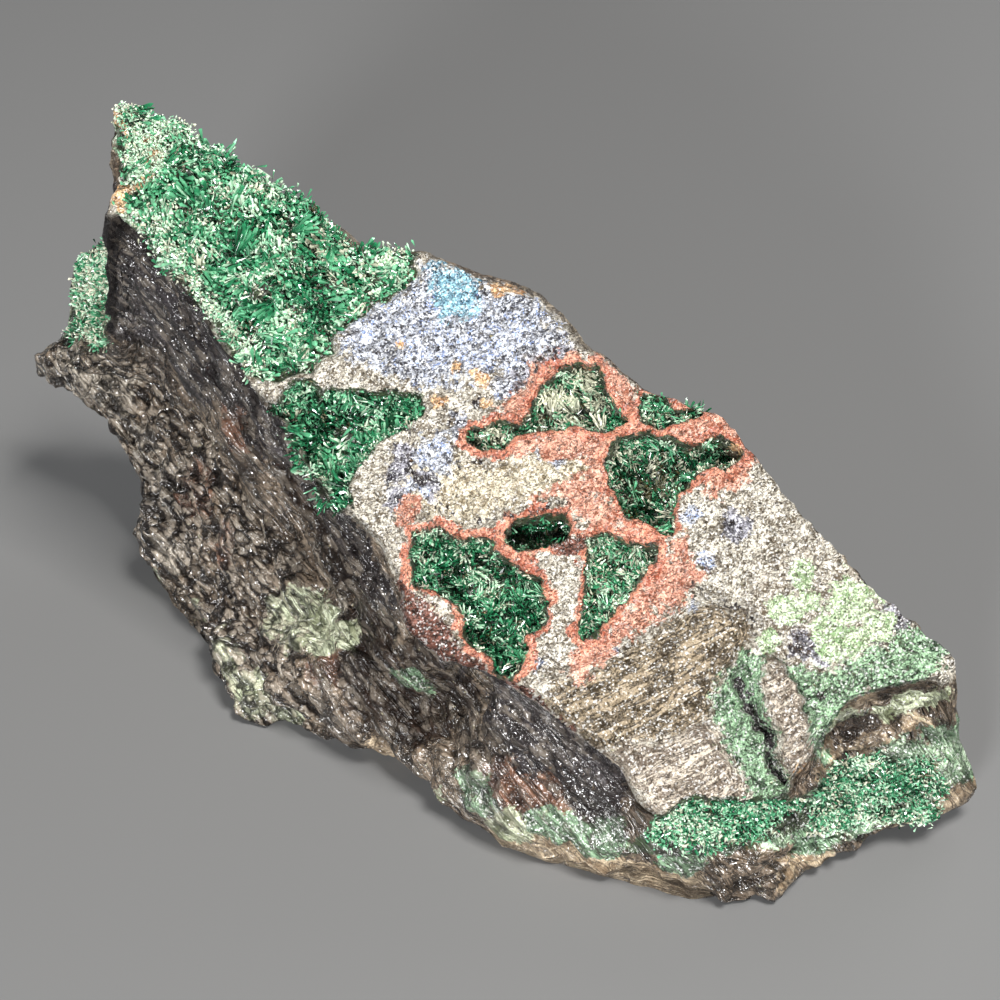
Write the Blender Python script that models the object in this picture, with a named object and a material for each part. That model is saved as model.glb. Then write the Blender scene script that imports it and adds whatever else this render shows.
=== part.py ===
"""A brochantite specimen: a wedge of rock with green needle crystals in its hollows.

The rock is one closed loft. Named rails (the ridge, the near edge of the broken face, the foot of the
shaded side and so on) run along the stone from its left tip to its right tip. Every cross-section joins
the rails at one station, and lumps, grooves and layers are pushed in or out of that surface along its
normal. Hollows are then cut with prisms drawn in the plane of the broken face, and each hollow holds one
crust: a base with a flat-faced crystal standing on every triangle of its top.

Lengths are in millimetres up to the last step, which writes metres. +X runs along the stone, +Z is up.
"""
import math

import bmesh
import bpy
import numpy as np
from mathutils import Matrix, Vector
from mathutils.geometry import delaunay_2d_cdt

MM = 0.001
BOX_CENTRE = (0.02, -0.44)        # where the middle of the stone's box lies in the drawing below
GAP = 0.3                        # clear space between a crust and the rock that carries it
WALL_INSET = 0.5                 # how far a crust's outline stays inside its hollow's outline

# ---- the broken face: a plane that leans back at 41 degrees and is turned 27 degrees -----------------
FACE_TURN = math.radians(27.0)
FACE_SLOPE = math.radians(41.0)
FACE_POINT = np.array([8.1, -8.2, 32.1])
FACE_ALONG = np.array([math.cos(FACE_TURN), math.sin(FACE_TURN), 0.0])
FACE_UP = np.array([-math.sin(FACE_TURN) * math.cos(FACE_SLOPE),
                    math.cos(FACE_TURN) * math.cos(FACE_SLOPE), math.sin(FACE_SLOPE)])
FACE_OUT = np.cross(FACE_ALONG, FACE_UP)

# ---- rails: (x, y, z) knots from the left tip to the right tip -----------------------------------------
FRONT_FOOT = [(-60, 3, 18), (-56, 3.5, 15.5), (-51, 3, 12.5), (-46, 1, 8), (-42, -2, 3), (-39, -6, 0),
              (-36, -8.6, 0), (-25, -15, 0), (-17, -20.6, 0), (-12, -19, 0), (-6, -19.3, 0), (1, -18, 0),
              (10, -21.5, 0), (17, -25.4, 0), (24, -24.6, 0), (30, -24.2, 0), (37, -23.4, 0), (42, -20, 0),
              (45, -16.8, 0), (49, -10.8, 0), (53, -7, 0.6), (57, -3, 1.2), (60, 1, 2)]
LOW_RIM = [(-60, 2, 18.5), (-56, 1, 17), (-50, -1, 16.8), (-45, -3.6, 15), (-41.5, -5, 10.5), (-38, -8.5, 7),
           (-25, -16, 5), (-17, -20.8, 3.5), (-10, -19.5, 6), (-4, -19.6, 5), (2, -19, 4), (10, -22.6, 4),
           (17, -25.8, 5), (24, -25.6, 5.5), (31, -25.4, 5.5), (37, -24, 4.5), (42, -20.4, 3.8),
           (46, -15.6, 3.6), (50, -11, 3.8), (54, -8, 4), (58, -3.5, 4), (60, 0, 3)]
HOLLOW = [(-60, 1.5, 19), (-56, -0.5, 19.5), (-50, -2, 21), (-44, -1.5, 22), (-38, -1.8, 22),
          (-30, -3.2, 21), (-20, -8.5, 17), (-11, -14.4, 14), (-3, -16.2, 12), (4, -18.4, 11),
          (11, -20.6, 12), (17, -23.2, 11), (24, -23.6, 9), (32, -24, 7.4), (38, -21.8, 6.4),
          (42, -19, 6.4), (45, -15.2, 7), (48, -10.8, 8.4), (51, -8.4, 9), (54, -6, 9), (58, -2, 6), (60, 0.6, 4)]
UNDER_EDGE = [(-60, 2, 20), (-56, 0, 23.6), (-50, -2.6, 25), (-44, -2.6, 28.6), (-41, -3, 38),
              (-38, -5, 47), (-30, -6.6, 42), (-20, -10.6, 35.5), (-10, -15.4, 28), (-4, -17.8, 23.5),
              (3, -20, 19.5), (10, -21.4, 17), (17, -22.4, 14.6), (24, -23.2, 12), (31, -23.4, 9.6),
              (37, -21.8, 8.8), (41, -19, 9.2), (44, -16.4, 10), (46, -11, 12), (48, -6.6, 14), (50, -4.6, 15),
              (54, -1.6, 14.6), (57, 0, 8.5), (60, 1, 4.2)]
NEAR_EDGE = [(-60, 3, 20.5), (-58, 5, 25), (-56, 6.4, 27.6), (-53, 4, 29.4), (-49, 0.4, 31), (-44, -2.6, 35),
             (-42, -4, 43), (-40.2, -5.4, 51), (-38.5, -6, 52), (-35, -6.5, 50.5), (-30.5, -8, 47.5),
             (-25.5, -9.5, 44.5), (-19, -12, 39.5), (-13.5, -12.6, 37.4), (-10, -15, 34), (-5, -16.5, 31),
             (-1.5, -17, 29), (2, -19, 26), (4, -21.5, 23), (8.5, -22, 21), (13, -20.6, 20.4),
             (18.5, -20.5, 18.5), (24.5, -21, 16), (28.5, -21, 14), (31, -22.8, 11.6), (34, -23, 10.6),
             (38, -21.4, 10.2), (41, -18.6, 10.8), (44, -16, 12), (45.4, -11, 15.4), (47, -6, 18.8),
             (50, -3.4, 19.4), (54, 0, 19.8), (55.2, 1, 17), (56.2, 1, 13), (58.5, 1.4, 7.5), (60, 1.5, 4.6)]
RIDGE = [(-60, 5, 21.5), (-58.4, 7, 26), (-57.4, 6.6, 33), (-51, 5.4, 38), (-46, 3.6, 42), (-44, 3.2, 45),
         (-43.6, 2.6, 58), (-43, 2.2, 60.4), (-40.5, 3, 60), (-39, 2.6, 59), (-36.5, 4, 59.2), (-32, 3.5, 57),
         (-26.5, 4, 55), (-22, 4, 53.5), (-19.5, 3.6, 52), (-17, 2.5, 50.2), (-13, 4, 49.6), (-8, 6, 49.4),
         (-2, 7, 47.5), (4.5, 8.5, 46), (7.5, 7.6, 44.4), (10, 6.6, 43), (17.5, 7, 40), (26, 8.4, 38),
         (31, 7, 35), (38.5, 5, 30.2), (43.5, 4, 27), (51, 2.6, 23.2), (55.3, 2.4, 20.8), (56.1, 2.4, 15),
         (57.5, 2.4, 9.5), (60, 2.2, 5)]
UPPER_BACK = [(-60, 6.6, 20.5), (-58, 8.6, 26), (-50, 10.6, 32), (-45, 9.4, 38), (-42.6, 8, 49),
              (-36, 9.6, 50), (-22, 11.4, 42.5), (-8, 13.6, 38), (6, 14.4, 31.5), (20, 13.6, 25.5), (34, 11.4, 20),
              (46, 8, 14.5), (52, 5.8, 12), (55.5, 4, 10), (57.5, 3.6, 8), (60, 3, 4.6)]
LOWER_BACK = [(-60, 7, 19.4), (-56, 11, 18.5), (-50, 14.4, 20), (-41, 17.6, 25), (-26, 19.4, 25),
              (-10, 21.4, 21), (8, 22, 18), (22, 20, 15.6), (38, 16, 11), (46, 12, 9), (52, 8.6, 8),
              (56, 5.4, 6.4), (60, 3.2, 4)]
BACK_FOOT = [(-60, 6, 17.6), (-52, 9.2, 11.5), (-44, 12, 5), (-39, 14.4, 0), (-20, 16.8, 0), (0, 18.6, 0),
             (20, 17.2, 0), (36, 13.6, 0), (50, 7.6, 0), (57, 4, 1), (60, 2.6, 2.4)]

# The rails in order round the stone: how many strips of faces follow each, and how rough the stone is there.
LOFT = [(FRONT_FOOT, 3, 0.3), (LOW_RIM, 4, 0.5), (HOLLOW, 4, 0.6), (UNDER_EDGE, 2, 0.4), (NEAR_EDGE, 16, 0.12),
        (RIDGE, 3, 0.12), (UPPER_BACK, 6, 1.0), (LOWER_BACK, 4, 1.0), (BACK_FOOT, 5, 0.4)]
FACE_STRIP = 4                   # the broken face follows the fifth rail, and the underside the last
UNDERSIDE_STRIP = 8
COARSE_FACETS = (17.0, 5.0)      # width and height of the broken facets
FINE_FACETS = (7.0, 2.0)
STATION_GAP = 1.55               # spacing of the cross-sections
WALL_STATION_GAP = 0.5           # and on the steep wall below the peak
PEAK_WALL = (-44.6, -41.4)
END_ROUNDING = 2.0               # length over which each end closes

# ---- lumps, ledges, grooves and layers: (centre x, y, z), reach, height ------------------------------
KNOBS = [((-57, 1, 21), (4.5, 4, 3.6), 1.6), ((-49, -3, 20), (4, 4, 3), 1.8), ((-47, -4, 15), (4, 4, 4), 1.8),
         ((-57, 7, 33), (2.6, 4, 3), 0.8), ((-41, -5, 20), (6, 4, 3.6), 0.8),
         ((-2, -19, 4), (6, 4, 4), 1.4),
         ((-33, 0, 14), (8, 6, 6), -1.6), ((-12, -14, 20), (9, 6, 6), -1.0),
         ((17, -25, 8), (6, 4, 5), 0.9), ((8, -21, 12), (3.5, 4, 4), -1.6), ((11, -20, 17), (2.2, 3, 2.2), -2.6),
         ((0, 4, 45), (10, 8, 8), 1.4), ((7, 3, 43), (6, 5, 5), 0.8), ((-3, -9, 36), (7, 6, 6), 1.0),
         ((12, -4, 34), (7, 5, 5), 0.7), ((30, 1, 33), (9, 7, 7), 0.9),
         ((22, -12, 23), (6, 5, 5), -0.9), ((40, -12, 16), (3, 4, 4), 1.2),
         ((-30, 13, 44), (12, 8, 9), 1.8), ((-6, 19, 32), (10, 8, 8), -1.6), ((18, 18, 26), (11, 8, 8), 1.6),
         ((36, 14, 19), (9, 7, 7), -1.2), ((-38, 17, 14), (9, 8, 8), -1.4), ((2, 20, 9), (12, 8, 6), 1.0)]
LAYER_PITCH = 5.2                # the thin end is built of layers this thick
LAYER_STEP = 0.9
LAYERS_FROM_X = 38.0

# ---- hollows and crusts, drawn on the broken face: (along, up) outlines -------------------------------
VUG_WEST = [(-9.0, -3.5), (-9.5, -9.0), (-7.0, -9.5), (-4.2, -11.0), (-3.5, -14.5), (-1.2, -16.4),
            (-0.6, -18.2), (1.2, -18.6), (3.2, -16.2), (2.4, -14.2), (4.5, -12.5), (5.0, -10.5),
            (4.0, -8.0), (0.5, -6.0), (-0.8, -4.2), (-4.0, -4.0), (-6.5, -3.0)]
VUG_SLIT = [(0.6, -3.8), (1.4, -5.2), (5.0, -5.0), (7.6, -3.4), (7.0, -1.8), (4.0, -1.7), (1.5, -2.2)]
VUG_WEDGE = [(9.0, -4.0), (9.0, -9.5), (8.0, -13.3), (8.6, -14.6), (10.2, -14.0), (11.6, -11.5),
             (13.2, -10.2), (15.0, -7.5), (16.4, -5.2), (13.5, -4.4), (11.0, -3.5)]
VUG_MAIN = [(11.0, 4.0), (11.4, 1.5), (13.0, -2.0), (15.5, -2.6), (16.6, -3.9), (18.0, -3.9), (18.5, 0.5),
            (20.0, 2.0), (21.5, 3.4), (23.5, 2.8), (25.5, 4.8), (23.0, 6.6), (20.0, 5.5), (17.4, 6.6),
            (15.5, 7.4), (12.0, 6.5)]
VUG_NORTH = [(6.0, 14.0), (3.5, 10.6), (2.5, 8.1), (-0.5, 8.0), (-3.5, 6.9), (-2.0, 5.4), (0.2, 5.2),
             (1.6, 6.7), (5.0, 7.5), (8.5, 7.2), (11.0, 6.9), (13.4, 8.5), (12.0, 9.9), (11.0, 12.0),
             (10.0, 14.2)]
VUG_NORTHEAST = [(14.4, 12.0), (14.4, 9.8), (15.0, 8.4), (17.0, 7.5), (18.6, 7.5), (20.8, 9.3),
                 (20.6, 10.7), (18.6, 9.6), (17.8, 10.8), (16.0, 12.2)]
NOTCH = [(-23.8, 10.3), (-22.2, 7.2), (-19.6, 3.2), (-17.6, -0.6), (-15.4, -0.6), (-15.4, 2.0),
         (-14.0, 4.5), (-10.5, 7.0), (-8.0, 9.0), (-8.0, 11.2), (-14.0, 11.6), (-16.5, 12.2),
         (-18.5, 11.3), (-19.5, 12.6), (-21.5, 12.6)]
PEAK_DRUSE = [(-39.4, 42.0), (-40.0, 35.5), (-39.4, 31.5), (-34.0, 24.4), (-29.6, 19.6), (-27.4, 15.6),
              (-24.8, 13.0), (-20.0, 13.9), (-18.0, 16.0), (-17.6, 18.2), (-11.0, 22.0), (-9.0, 24.0),
              (-9.4, 25.4), (-13.0, 25.0), (-18.2, 26.6), (-22.0, 31.0), (-25.5, 33.4), (-30.5, 36.4),
              (-34.0, 39.4), (-37.0, 39.6)]
PEAK_CUT = [(-48.0, 50.0), (-48.0, 29.0), (-35.4, 22.4), (-31.2, 17.6), (-29.2, 13.6), (-24.9, 12.2),
            (-19.6, 13.1), (-17.2, 15.8), (-17.0, 17.6), (-10.6, 21.4), (-8.2, 23.8), (-8.2, 30.0),
            (-16.0, 34.0), (-30.0, 44.0)]
FRONT_SEAM = [(12.4, -36.2), (22.5, -36.2), (29.0, -34.6), (32.0, -32.6), (31.6, -30.6), (27.0, -30.4),
              (24.5, -31.0), (21.5, -30.4), (18.5, -31.0), (15.5, -33.2)]

# Slopes away from the broken face have frames of their own: a point, the outward way, an outline.
END_SLOPE_POINT = np.array([51.0, -8.8, 8.6])
END_SLOPE_OUT = np.array([0.42, -0.74, 0.52])
END_SLOPE = [(-5.6, -2.6), (-2.0, -3.8), (3.0, -3.2), (8.2, -3.6), (9.4, -0.4), (7.6, 2.6), (4.0, 2.2),
             (0.5, 3.8), (-3.5, 3.2), (-5.4, 1.0)]
LEFT_LEDGE_POINT = np.array([-49.2, 1.6, 33.1])
LEFT_LEDGE_OUT = np.array([-0.61, -0.734, 0.299])
LEFT_LEDGE = [(-7.6, -2.6), (-6.6, 0.2), (-3.0, 4.6), (0.4, 7.4), (2.2, 9.4), (3.4, 8.0), (4.2, 5.0),
              (4.6, 1.0), (5.2, -2.4), (2.6, -5.0), (-2.0, -6.4), (-3.4, -8.2), (-5.6, -8.6), (-5.0, -5.6),
              (-6.8, -4.8)]
LEFT_LEDGE_CUT = [(-11.5, -2.0), (-6.5, 5.0), (-2.0, 9.6), (2.2, 12.6), (4.4, 9.0), (5.0, 5.0), (5.4, 1.0),
                  (6.2, -2.8), (3.0, -6.0), (-1.4, -7.2), (-2.6, -8.6), (-4.6, -10.0), (-8.0, -10.4),
                  (-11.5, -6.0)]


def corner_value(index, seed):
    """A fixed value from -1 to 1 for each corner of a lattice of cubes."""
    hashed = (index[..., 0] * 73856093) ^ (index[..., 1] * 19349663) ^ (index[..., 2] * 83492791)
    hashed = (hashed + seed * 40503) & 0xFFFFFFFF
    hashed = ((hashed ^ (hashed >> 15)) * 73244475) & 0xFFFFFFFF
    hashed = ((hashed ^ (hashed >> 13)) * 73244475) & 0xFFFFFFFF
    return ((hashed >> 8) & 0xFFFF) / 32767.5 - 1.0


def facet_noise(points, cell, seed):
    """Flat facets from -1 to 1: each cube of side cell is six wedges, and the value is linear in each."""
    turned = points @ np.array([[0.80, 0.36, -0.48], [-0.60, 0.48, -0.64], [0.0, 0.80, 0.60]])
    scaled = turned / cell + 50.0
    corner = np.floor(scaled).astype(np.int64)
    part = scaled - corner
    order = np.argsort(-part, axis=-1)
    part = np.take_along_axis(part, order, axis=-1)
    share = np.concatenate([part, np.zeros_like(part[..., :1])], axis=-1)
    total = (1.0 - share[..., 0]) * corner_value(corner, seed)
    for step in range(3):
        corner = corner + np.eye(3, dtype=np.int64)[order[..., step]]
        total += (share[..., step] - share[..., step + 1]) * corner_value(corner, seed)
    return total


def stations():
    """The x of every cross-section: even steps, closer together on the wall below the peak."""
    xs = [-60.0]
    while xs[-1] < 60.0:
        steep = PEAK_WALL[0] < xs[-1] < PEAK_WALL[1]
        xs.append(xs[-1] + (WALL_STATION_GAP if steep else STATION_GAP))
    xs[-1] = 60.0
    return np.array(xs)


def rail_at(rail, x):
    """The rail's points at the stations x: straight between its knots."""
    knots = np.array(rail, float)
    return np.stack([x, np.interp(x, knots[:, 0], knots[:, 1]), np.interp(x, knots[:, 0], knots[:, 2])], -1)


def rock_grid():
    """Points round each cross-section, with each row's strip and roughness."""
    x = stations()
    rows, strip_of_row, roughness = [], [], []
    for strip, (start, count, rough) in enumerate(LOFT):
        end, end_rough = LOFT[(strip + 1) % len(LOFT)][0], LOFT[(strip + 1) % len(LOFT)][2]
        first, last = rail_at(start, x), rail_at(end, x)
        for step in range(count):
            rows.append(first + (last - first) * step / count)
            strip_of_row.append(strip)
            roughness.append(rough + (end_rough - rough) * step / count)
    grid = np.stack(rows, axis=1)
    middle = grid.mean(axis=1, keepdims=True)
    closing = np.clip(np.minimum(x - x[0], x[-1] - x) / END_ROUNDING, 0.0, 1.0)
    size = 0.25 + 0.75 * np.sqrt(1.0 - (1.0 - closing) ** 2)[:, None, None]
    return middle + (grid - middle) * size, np.array(strip_of_row), np.array(roughness)


def grid_normals(grid):
    """Outward unit normals of a grid whose rows close on themselves."""
    along = np.gradient(grid, axis=0)
    around = np.roll(grid, -1, axis=1) - np.roll(grid, 1, axis=1)
    normal = np.cross(along, around)
    normal /= np.linalg.norm(normal, axis=-1, keepdims=True) + 1e-9
    outward = grid - grid.mean(axis=1, keepdims=True)
    return normal if (normal * outward).sum() > 0 else -normal


def relief(points, on_face, roughness):
    """How far the stone stands out of its plain loft at each point."""
    height = np.zeros(points.shape[:-1])
    for centre, reach, rise in KNOBS:
        away = (((points - np.array(centre)) / np.array(reach)) ** 2).sum(-1)
        height += rise * np.exp(-away)
    for seed, (width, tall) in enumerate((COARSE_FACETS, FINE_FACETS)):
        height += roughness * tall * facet_noise(points, width, seed)
    shaded = (points[..., 1] < 2.0) & ~on_face & (points[..., 0] < 4.0) & (points[..., 0] > -42.0)
    across_grooves = points[..., 2] * 0.75 + points[..., 0] * 0.55
    height += shaded * (0.35 * np.sin(across_grooves * 1.35) + 0.25 * np.sin(across_grooves * 2.9 + 1.0))
    layered = np.clip((points[..., 0] - LAYERS_FROM_X) / 5.0, 0.0, 1.0) * ~on_face
    phase = (points[..., 2] - 0.12 * points[..., 0]) / LAYER_PITCH
    height += layered * LAYER_STEP * np.clip(3.0 * np.sin(2.0 * math.pi * phase), -1.0, 1.0)
    return height


def rock_mesh():
    """The stone before its hollows are cut, as one closed bmesh in millimetres."""
    grid, strip_of_row, roughness = rock_grid()
    on_face = np.broadcast_to(strip_of_row == FACE_STRIP, grid.shape[:2])
    standing_out = relief(grid, on_face, roughness)[..., None]
    x = grid[:, :1, 0]
    ends = np.clip(np.minimum(x - x[0] + 0.6, x[-1] - x + 0.6) / 5.0, 0.0, 1.0)[..., None]
    moved = grid + grid_normals(grid) * standing_out * ends
    resting = (grid[..., 2] < 0.01)
    moved[..., 2] = np.where(resting, 0.0, np.maximum(moved[..., 2], 0.4))
    bottom = np.broadcast_to(strip_of_row == UNDERSIDE_STRIP, resting.shape)
    moved[..., :2] = np.where((bottom & resting)[..., None], grid[..., :2], moved[..., :2])
    bm = bmesh.new()
    verts = [[bm.verts.new(point) for point in row] for row in moved.tolist()]
    count = len(verts[0])
    for left, right in zip(verts[:-1], verts[1:]):
        for row in range(count):
            bm.faces.new((left[row], left[(row + 1) % count], right[(row + 1) % count], right[row]))
    for ring in (verts[0], verts[-1]):
        tip = bm.verts.new(sum((vert.co for vert in ring), Vector()) / count)
        for row in range(count):
            bm.faces.new((ring[row], ring[(row + 1) % count], tip))
    bmesh.ops.recalc_face_normals(bm, faces=bm.faces[:])
    return bm


def place_in_frame(bm):
    """Moves a mesh so that the middle of the stone's box is the origin, and turns it to metres."""
    bmesh.ops.translate(bm, verts=bm.verts[:], vec=(-BOX_CENTRE[0], -BOX_CENTRE[1], 0.0))
    bmesh.ops.scale(bm, verts=bm.verts[:], vec=(MM, MM, MM))


def material(name, colour, roughness, metallic=0.0):
    """A plain material from a colour, a roughness and a metallic value."""
    result = bpy.data.materials.new(name)
    result.use_nodes = True
    shader = result.node_tree.nodes["Principled BSDF"]
    shader.inputs["Base Color"].default_value = (*colour, 1.0)
    shader.inputs["Roughness"].default_value = roughness
    shader.inputs["Metallic"].default_value = metallic
    return result


def add_object(name, bm, finish):
    """Turns a bmesh into a named object with one material."""
    place_in_frame(bm)
    mesh = bpy.data.meshes.new(name)
    bm.to_mesh(mesh)
    bm.free()
    mesh.materials.append(finish)
    result = bpy.data.objects.new(name, mesh)
    bpy.context.scene.collection.objects.link(result)
    return result


def frame_matrix(point, out):
    """The frame of a slope: x runs level along it, y up it, z out of it."""
    out = Vector(out).normalized()
    along = Vector((0.0, 0.0, 1.0)).cross(out).normalized()
    up = out.cross(along)
    frame = Matrix((along, up, out)).transposed().to_4x4()
    frame.translation = Vector(point)
    return frame


def prism(outline, low, high, frame):
    """A straight prism over an outline, between two heights above the frame's plane."""
    bm = bmesh.new()
    floor = [bm.verts.new((x, y, low)) for x, y in outline]
    roof = [bm.verts.new((x, y, high)) for x, y in outline]
    bm.faces.new(floor)
    bm.faces.new(roof)
    for index in range(len(outline)):
        following = (index + 1) % len(outline)
        bm.faces.new((floor[index], floor[following], roof[following], roof[index]))
    bmesh.ops.recalc_face_normals(bm, faces=bm.faces[:])
    bm.transform(frame)
    return bm


def inset(outline, distance):
    """The outline drawn again, a distance further in."""
    points = np.array(outline, float)
    forward = np.roll(points, -1, axis=0) - points
    area = np.sum(points[:, 0] * np.roll(points[:, 1], -1) - np.roll(points[:, 0], -1) * points[:, 1])
    side = np.stack([-forward[:, 1], forward[:, 0]], -1) * np.sign(area)
    side /= np.linalg.norm(side, axis=1, keepdims=True)
    before = np.roll(side, 1, axis=0)
    corner = side + before
    corner /= np.maximum((corner * side).sum(axis=1, keepdims=True), 0.45)
    return points + corner * distance


def edge_distance(points, outline):
    """Distance of points from an outline: positive inside it."""
    start = np.array(outline, float)
    end = np.roll(start, -1, axis=0)
    run = end - start
    to_point = points[:, None, :] - start
    along = np.clip((to_point * run).sum(-1) / (run * run).sum(-1), 0.0, 1.0)
    nearest = np.linalg.norm(to_point - along[..., None] * run, axis=-1).min(axis=1)
    crosses = (start[:, 1] > points[:, None, 1]) != (end[:, 1] > points[:, None, 1])
    rise = np.where(run[:, 1] == 0.0, 1.0, run[:, 1])
    hit = start[:, 0] + (points[:, None, 1] - start[:, 1]) / rise * run[:, 0]
    inside = (crosses & (points[:, None, 0] < hit)).sum(axis=1) % 2 == 1
    return np.where(inside, nearest, -nearest)


def crystal_crust(outline, floor, frame, spacing, crystal, bowl, seed):
    """One crust: a flat-bottomed base that rises towards its rim, with a crystal on every top face.

    spacing is the width of a crystal, crystal its height and bowl how much the rim stands higher.
    """
    chance = np.random.default_rng(seed)
    low, high = np.min(outline, axis=0), np.max(outline, axis=0)
    rows = np.arange(low[1], high[1], spacing * 0.87)
    spots = [(x + (number % 2) * spacing / 2, y) for number, y in enumerate(rows)
             for x in np.arange(low[0], high[0], spacing)]
    spots = np.array(spots) + chance.uniform(-0.2, 0.2, (len(spots), 2)) * spacing
    spots = spots[edge_distance(spots, outline) > spacing * 0.45]
    plan = [Vector(point) for point in np.vstack([outline, spots])]
    result = delaunay_2d_cdt(plan, [], [list(range(len(outline)))], 1, 1e-5)
    flat, triangles = np.array([tuple(point) for point in result[0]]), result[2]
    far_in = np.clip(edge_distance(flat, outline) / (2.2 * spacing), 0.0, 1.0)
    base = floor + GAP + 0.9 + bowl * (1.0 - far_in) ** 1.5
    bm = bmesh.new()
    top = [bm.verts.new((x, y, z)) for (x, y), z in zip(flat, base)]
    for triangle in triangles:
        corners = [top[index] for index in triangle]
        middle = sum((corner.co for corner in corners), Vector()) / 3.0
        lean = Vector((*chance.uniform(-0.3, 0.3, 2), 0.0)) * spacing
        tip = bm.verts.new(middle + lean + Vector((0.0, 0.0, crystal * chance.uniform(0.45, 1.0))))
        for index in range(3):
            bm.faces.new((corners[index], corners[(index + 1) % 3], tip))
    rim = [edge for edge in bm.edges if edge.is_boundary]
    walls = bmesh.ops.extrude_edge_only(bm, edges=rim)["geom"]
    for vert in (item for item in walls if isinstance(item, bmesh.types.BMVert)):
        vert.co.z = floor + GAP
    bmesh.ops.holes_fill(bm, edges=[edge for edge in bm.edges if edge.is_boundary])
    bmesh.ops.recalc_face_normals(bm, faces=bm.faces[:])
    bm.transform(frame)
    return bm


def clear_scene():
    """Starts from an empty scene."""
    for item in list(bpy.data.objects):
        bpy.data.objects.remove(item)


def hollow_sites():
    """Every crust: its name, the outline cut in the rock, the crust's own, depth, frame and crystals."""
    face = frame_matrix(FACE_POINT, FACE_OUT)
    end = frame_matrix(END_SLOPE_POINT, END_SLOPE_OUT)
    ledge = frame_matrix(LEFT_LEDGE_POINT, LEFT_LEDGE_OUT)
    closed = [("crust_vug_west", VUG_WEST, 5.0, 1.7, 2.6, 1.6), ("crust_vug_slit", VUG_SLIT, 5.0, 1.4, 1.6, 1.0),
              ("crust_vug_wedge", VUG_WEDGE, 4.6, 1.6, 2.2, 1.4), ("crust_vug_main", VUG_MAIN, 6.2, 1.7, 2.4, 2.0),
              ("crust_vug_north", VUG_NORTH, 4.4, 1.6, 2.4, 1.2),
              ("crust_vug_northeast", VUG_NORTHEAST, 4.0, 1.5, 2.0, 1.0),
              ("crust_front_seam", FRONT_SEAM, 3.4, 1.7, 1.8, 0.8)]
    sites = [(name, outline, inset(outline, WALL_INSET), -depth, face, spacing, crystal, bowl)
             for name, outline, depth, spacing, crystal, bowl in closed]
    sites.append(("druse_edge_notch", NOTCH, inset(NOTCH, 1.0), -5.6, face, 1.8, 3.4, 1.4))
    sites.append(("druse_peak_face", PEAK_CUT, np.array(PEAK_DRUSE), -2.4, face, 1.9, 2.6, 0.0))
    sites.append(("crust_end_slope", END_SLOPE, inset(END_SLOPE, WALL_INSET), -1.6, end, 1.8, 1.5, 0.0))
    sites.append(("crust_left_ledge", LEFT_LEDGE_CUT, np.array(LEFT_LEDGE), -1.8, ledge, 1.8, 1.8, 0.0))
    return sites


def build():
    """Makes the rock, cuts its hollows and grows a crust in each."""
    clear_scene()
    stone = material("stone", (0.33, 0.26, 0.22), 0.75)
    crystal = material("crystal", (0.02, 0.32, 0.14), 0.25)
    cutter_finish = material("cutter", (0.5, 0.5, 0.5), 0.5)
    rock = add_object("matrix", rock_mesh(), stone)
    for seed, (name, cut, outline, floor, frame, spacing, height, bowl) in enumerate(hollow_sites()):
        cutter = add_object("cut_" + name, prism(cut, floor, 12.0, frame), cutter_finish)
        cutter.hide_render = True
        cutter.display_type = "WIRE"
        cutting = rock.modifiers.new(cutter.name, "BOOLEAN")
        cutting.operation = "DIFFERENCE"
        cutting.object = cutter
        add_object(name, crystal_crust(outline, floor, frame, spacing, height, bowl, seed), crystal)


build()
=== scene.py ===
# %% [markdown]
# # A brochantite specimen
# The real object is one broken piece of rock. Green needle crystals line its hollows and cover the top of
# its broken face. The imported model already holds plain solids of the rock and of each crust at their true
# size. Here the rock gets its fine surface and its stains, and each crust becomes thousands of needles.
# The first cell loads the imported model, which stays as it is.

# %% Load the imported model
import math

import bpy
import numpy as np
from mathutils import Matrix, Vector


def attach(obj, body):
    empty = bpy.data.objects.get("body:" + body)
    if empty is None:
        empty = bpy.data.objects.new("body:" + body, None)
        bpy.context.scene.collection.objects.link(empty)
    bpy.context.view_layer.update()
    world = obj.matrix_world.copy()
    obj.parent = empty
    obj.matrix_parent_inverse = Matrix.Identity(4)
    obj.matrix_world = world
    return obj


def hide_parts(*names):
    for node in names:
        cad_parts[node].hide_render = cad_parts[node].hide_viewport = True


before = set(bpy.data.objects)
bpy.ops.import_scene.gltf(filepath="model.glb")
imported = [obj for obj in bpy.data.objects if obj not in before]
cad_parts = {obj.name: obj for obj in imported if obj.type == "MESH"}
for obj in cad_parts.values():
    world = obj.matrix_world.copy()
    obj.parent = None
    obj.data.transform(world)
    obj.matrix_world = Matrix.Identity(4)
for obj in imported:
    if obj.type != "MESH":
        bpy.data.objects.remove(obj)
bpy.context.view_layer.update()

print("solids in the frame:", len(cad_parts))

# %% [markdown]
# All shapes below are worked out in millimetres, in the coordinates in which the stone was drawn. One
# shift then puts the middle of its box over the origin, and one factor turns millimetres to metres.

# %% Units
MM = 0.001
BOX_CENTRE = np.array([0.02, -0.44, 0.0])


def to_frame(points):
    """Drawing coordinates in millimetres to the frame's metres."""
    return (np.asarray(points, float) - BOX_CENTRE) * MM


print("middle of the drawing in mm:", BOX_CENTRE.tolist())

# %% [markdown]
# ## Camera, floor and light
# The stone is seen from its front right, 40 degrees above the table, with a long lens. A lens is easier to
# match than a distance, so the distance follows from how wide the view is at the stone.

# %% Camera
VIEW_TURN = math.radians(27.0)
VIEW_HEIGHT = math.radians(40.0)
LENS_MM = 85.0
SENSOR_MM = 36.0
NEAREST_SEEN = 0.01
VIEW_CENTRE = np.array([7.0, -6.0, 30.0])
VIEW_WIDTH = 105.0

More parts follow.
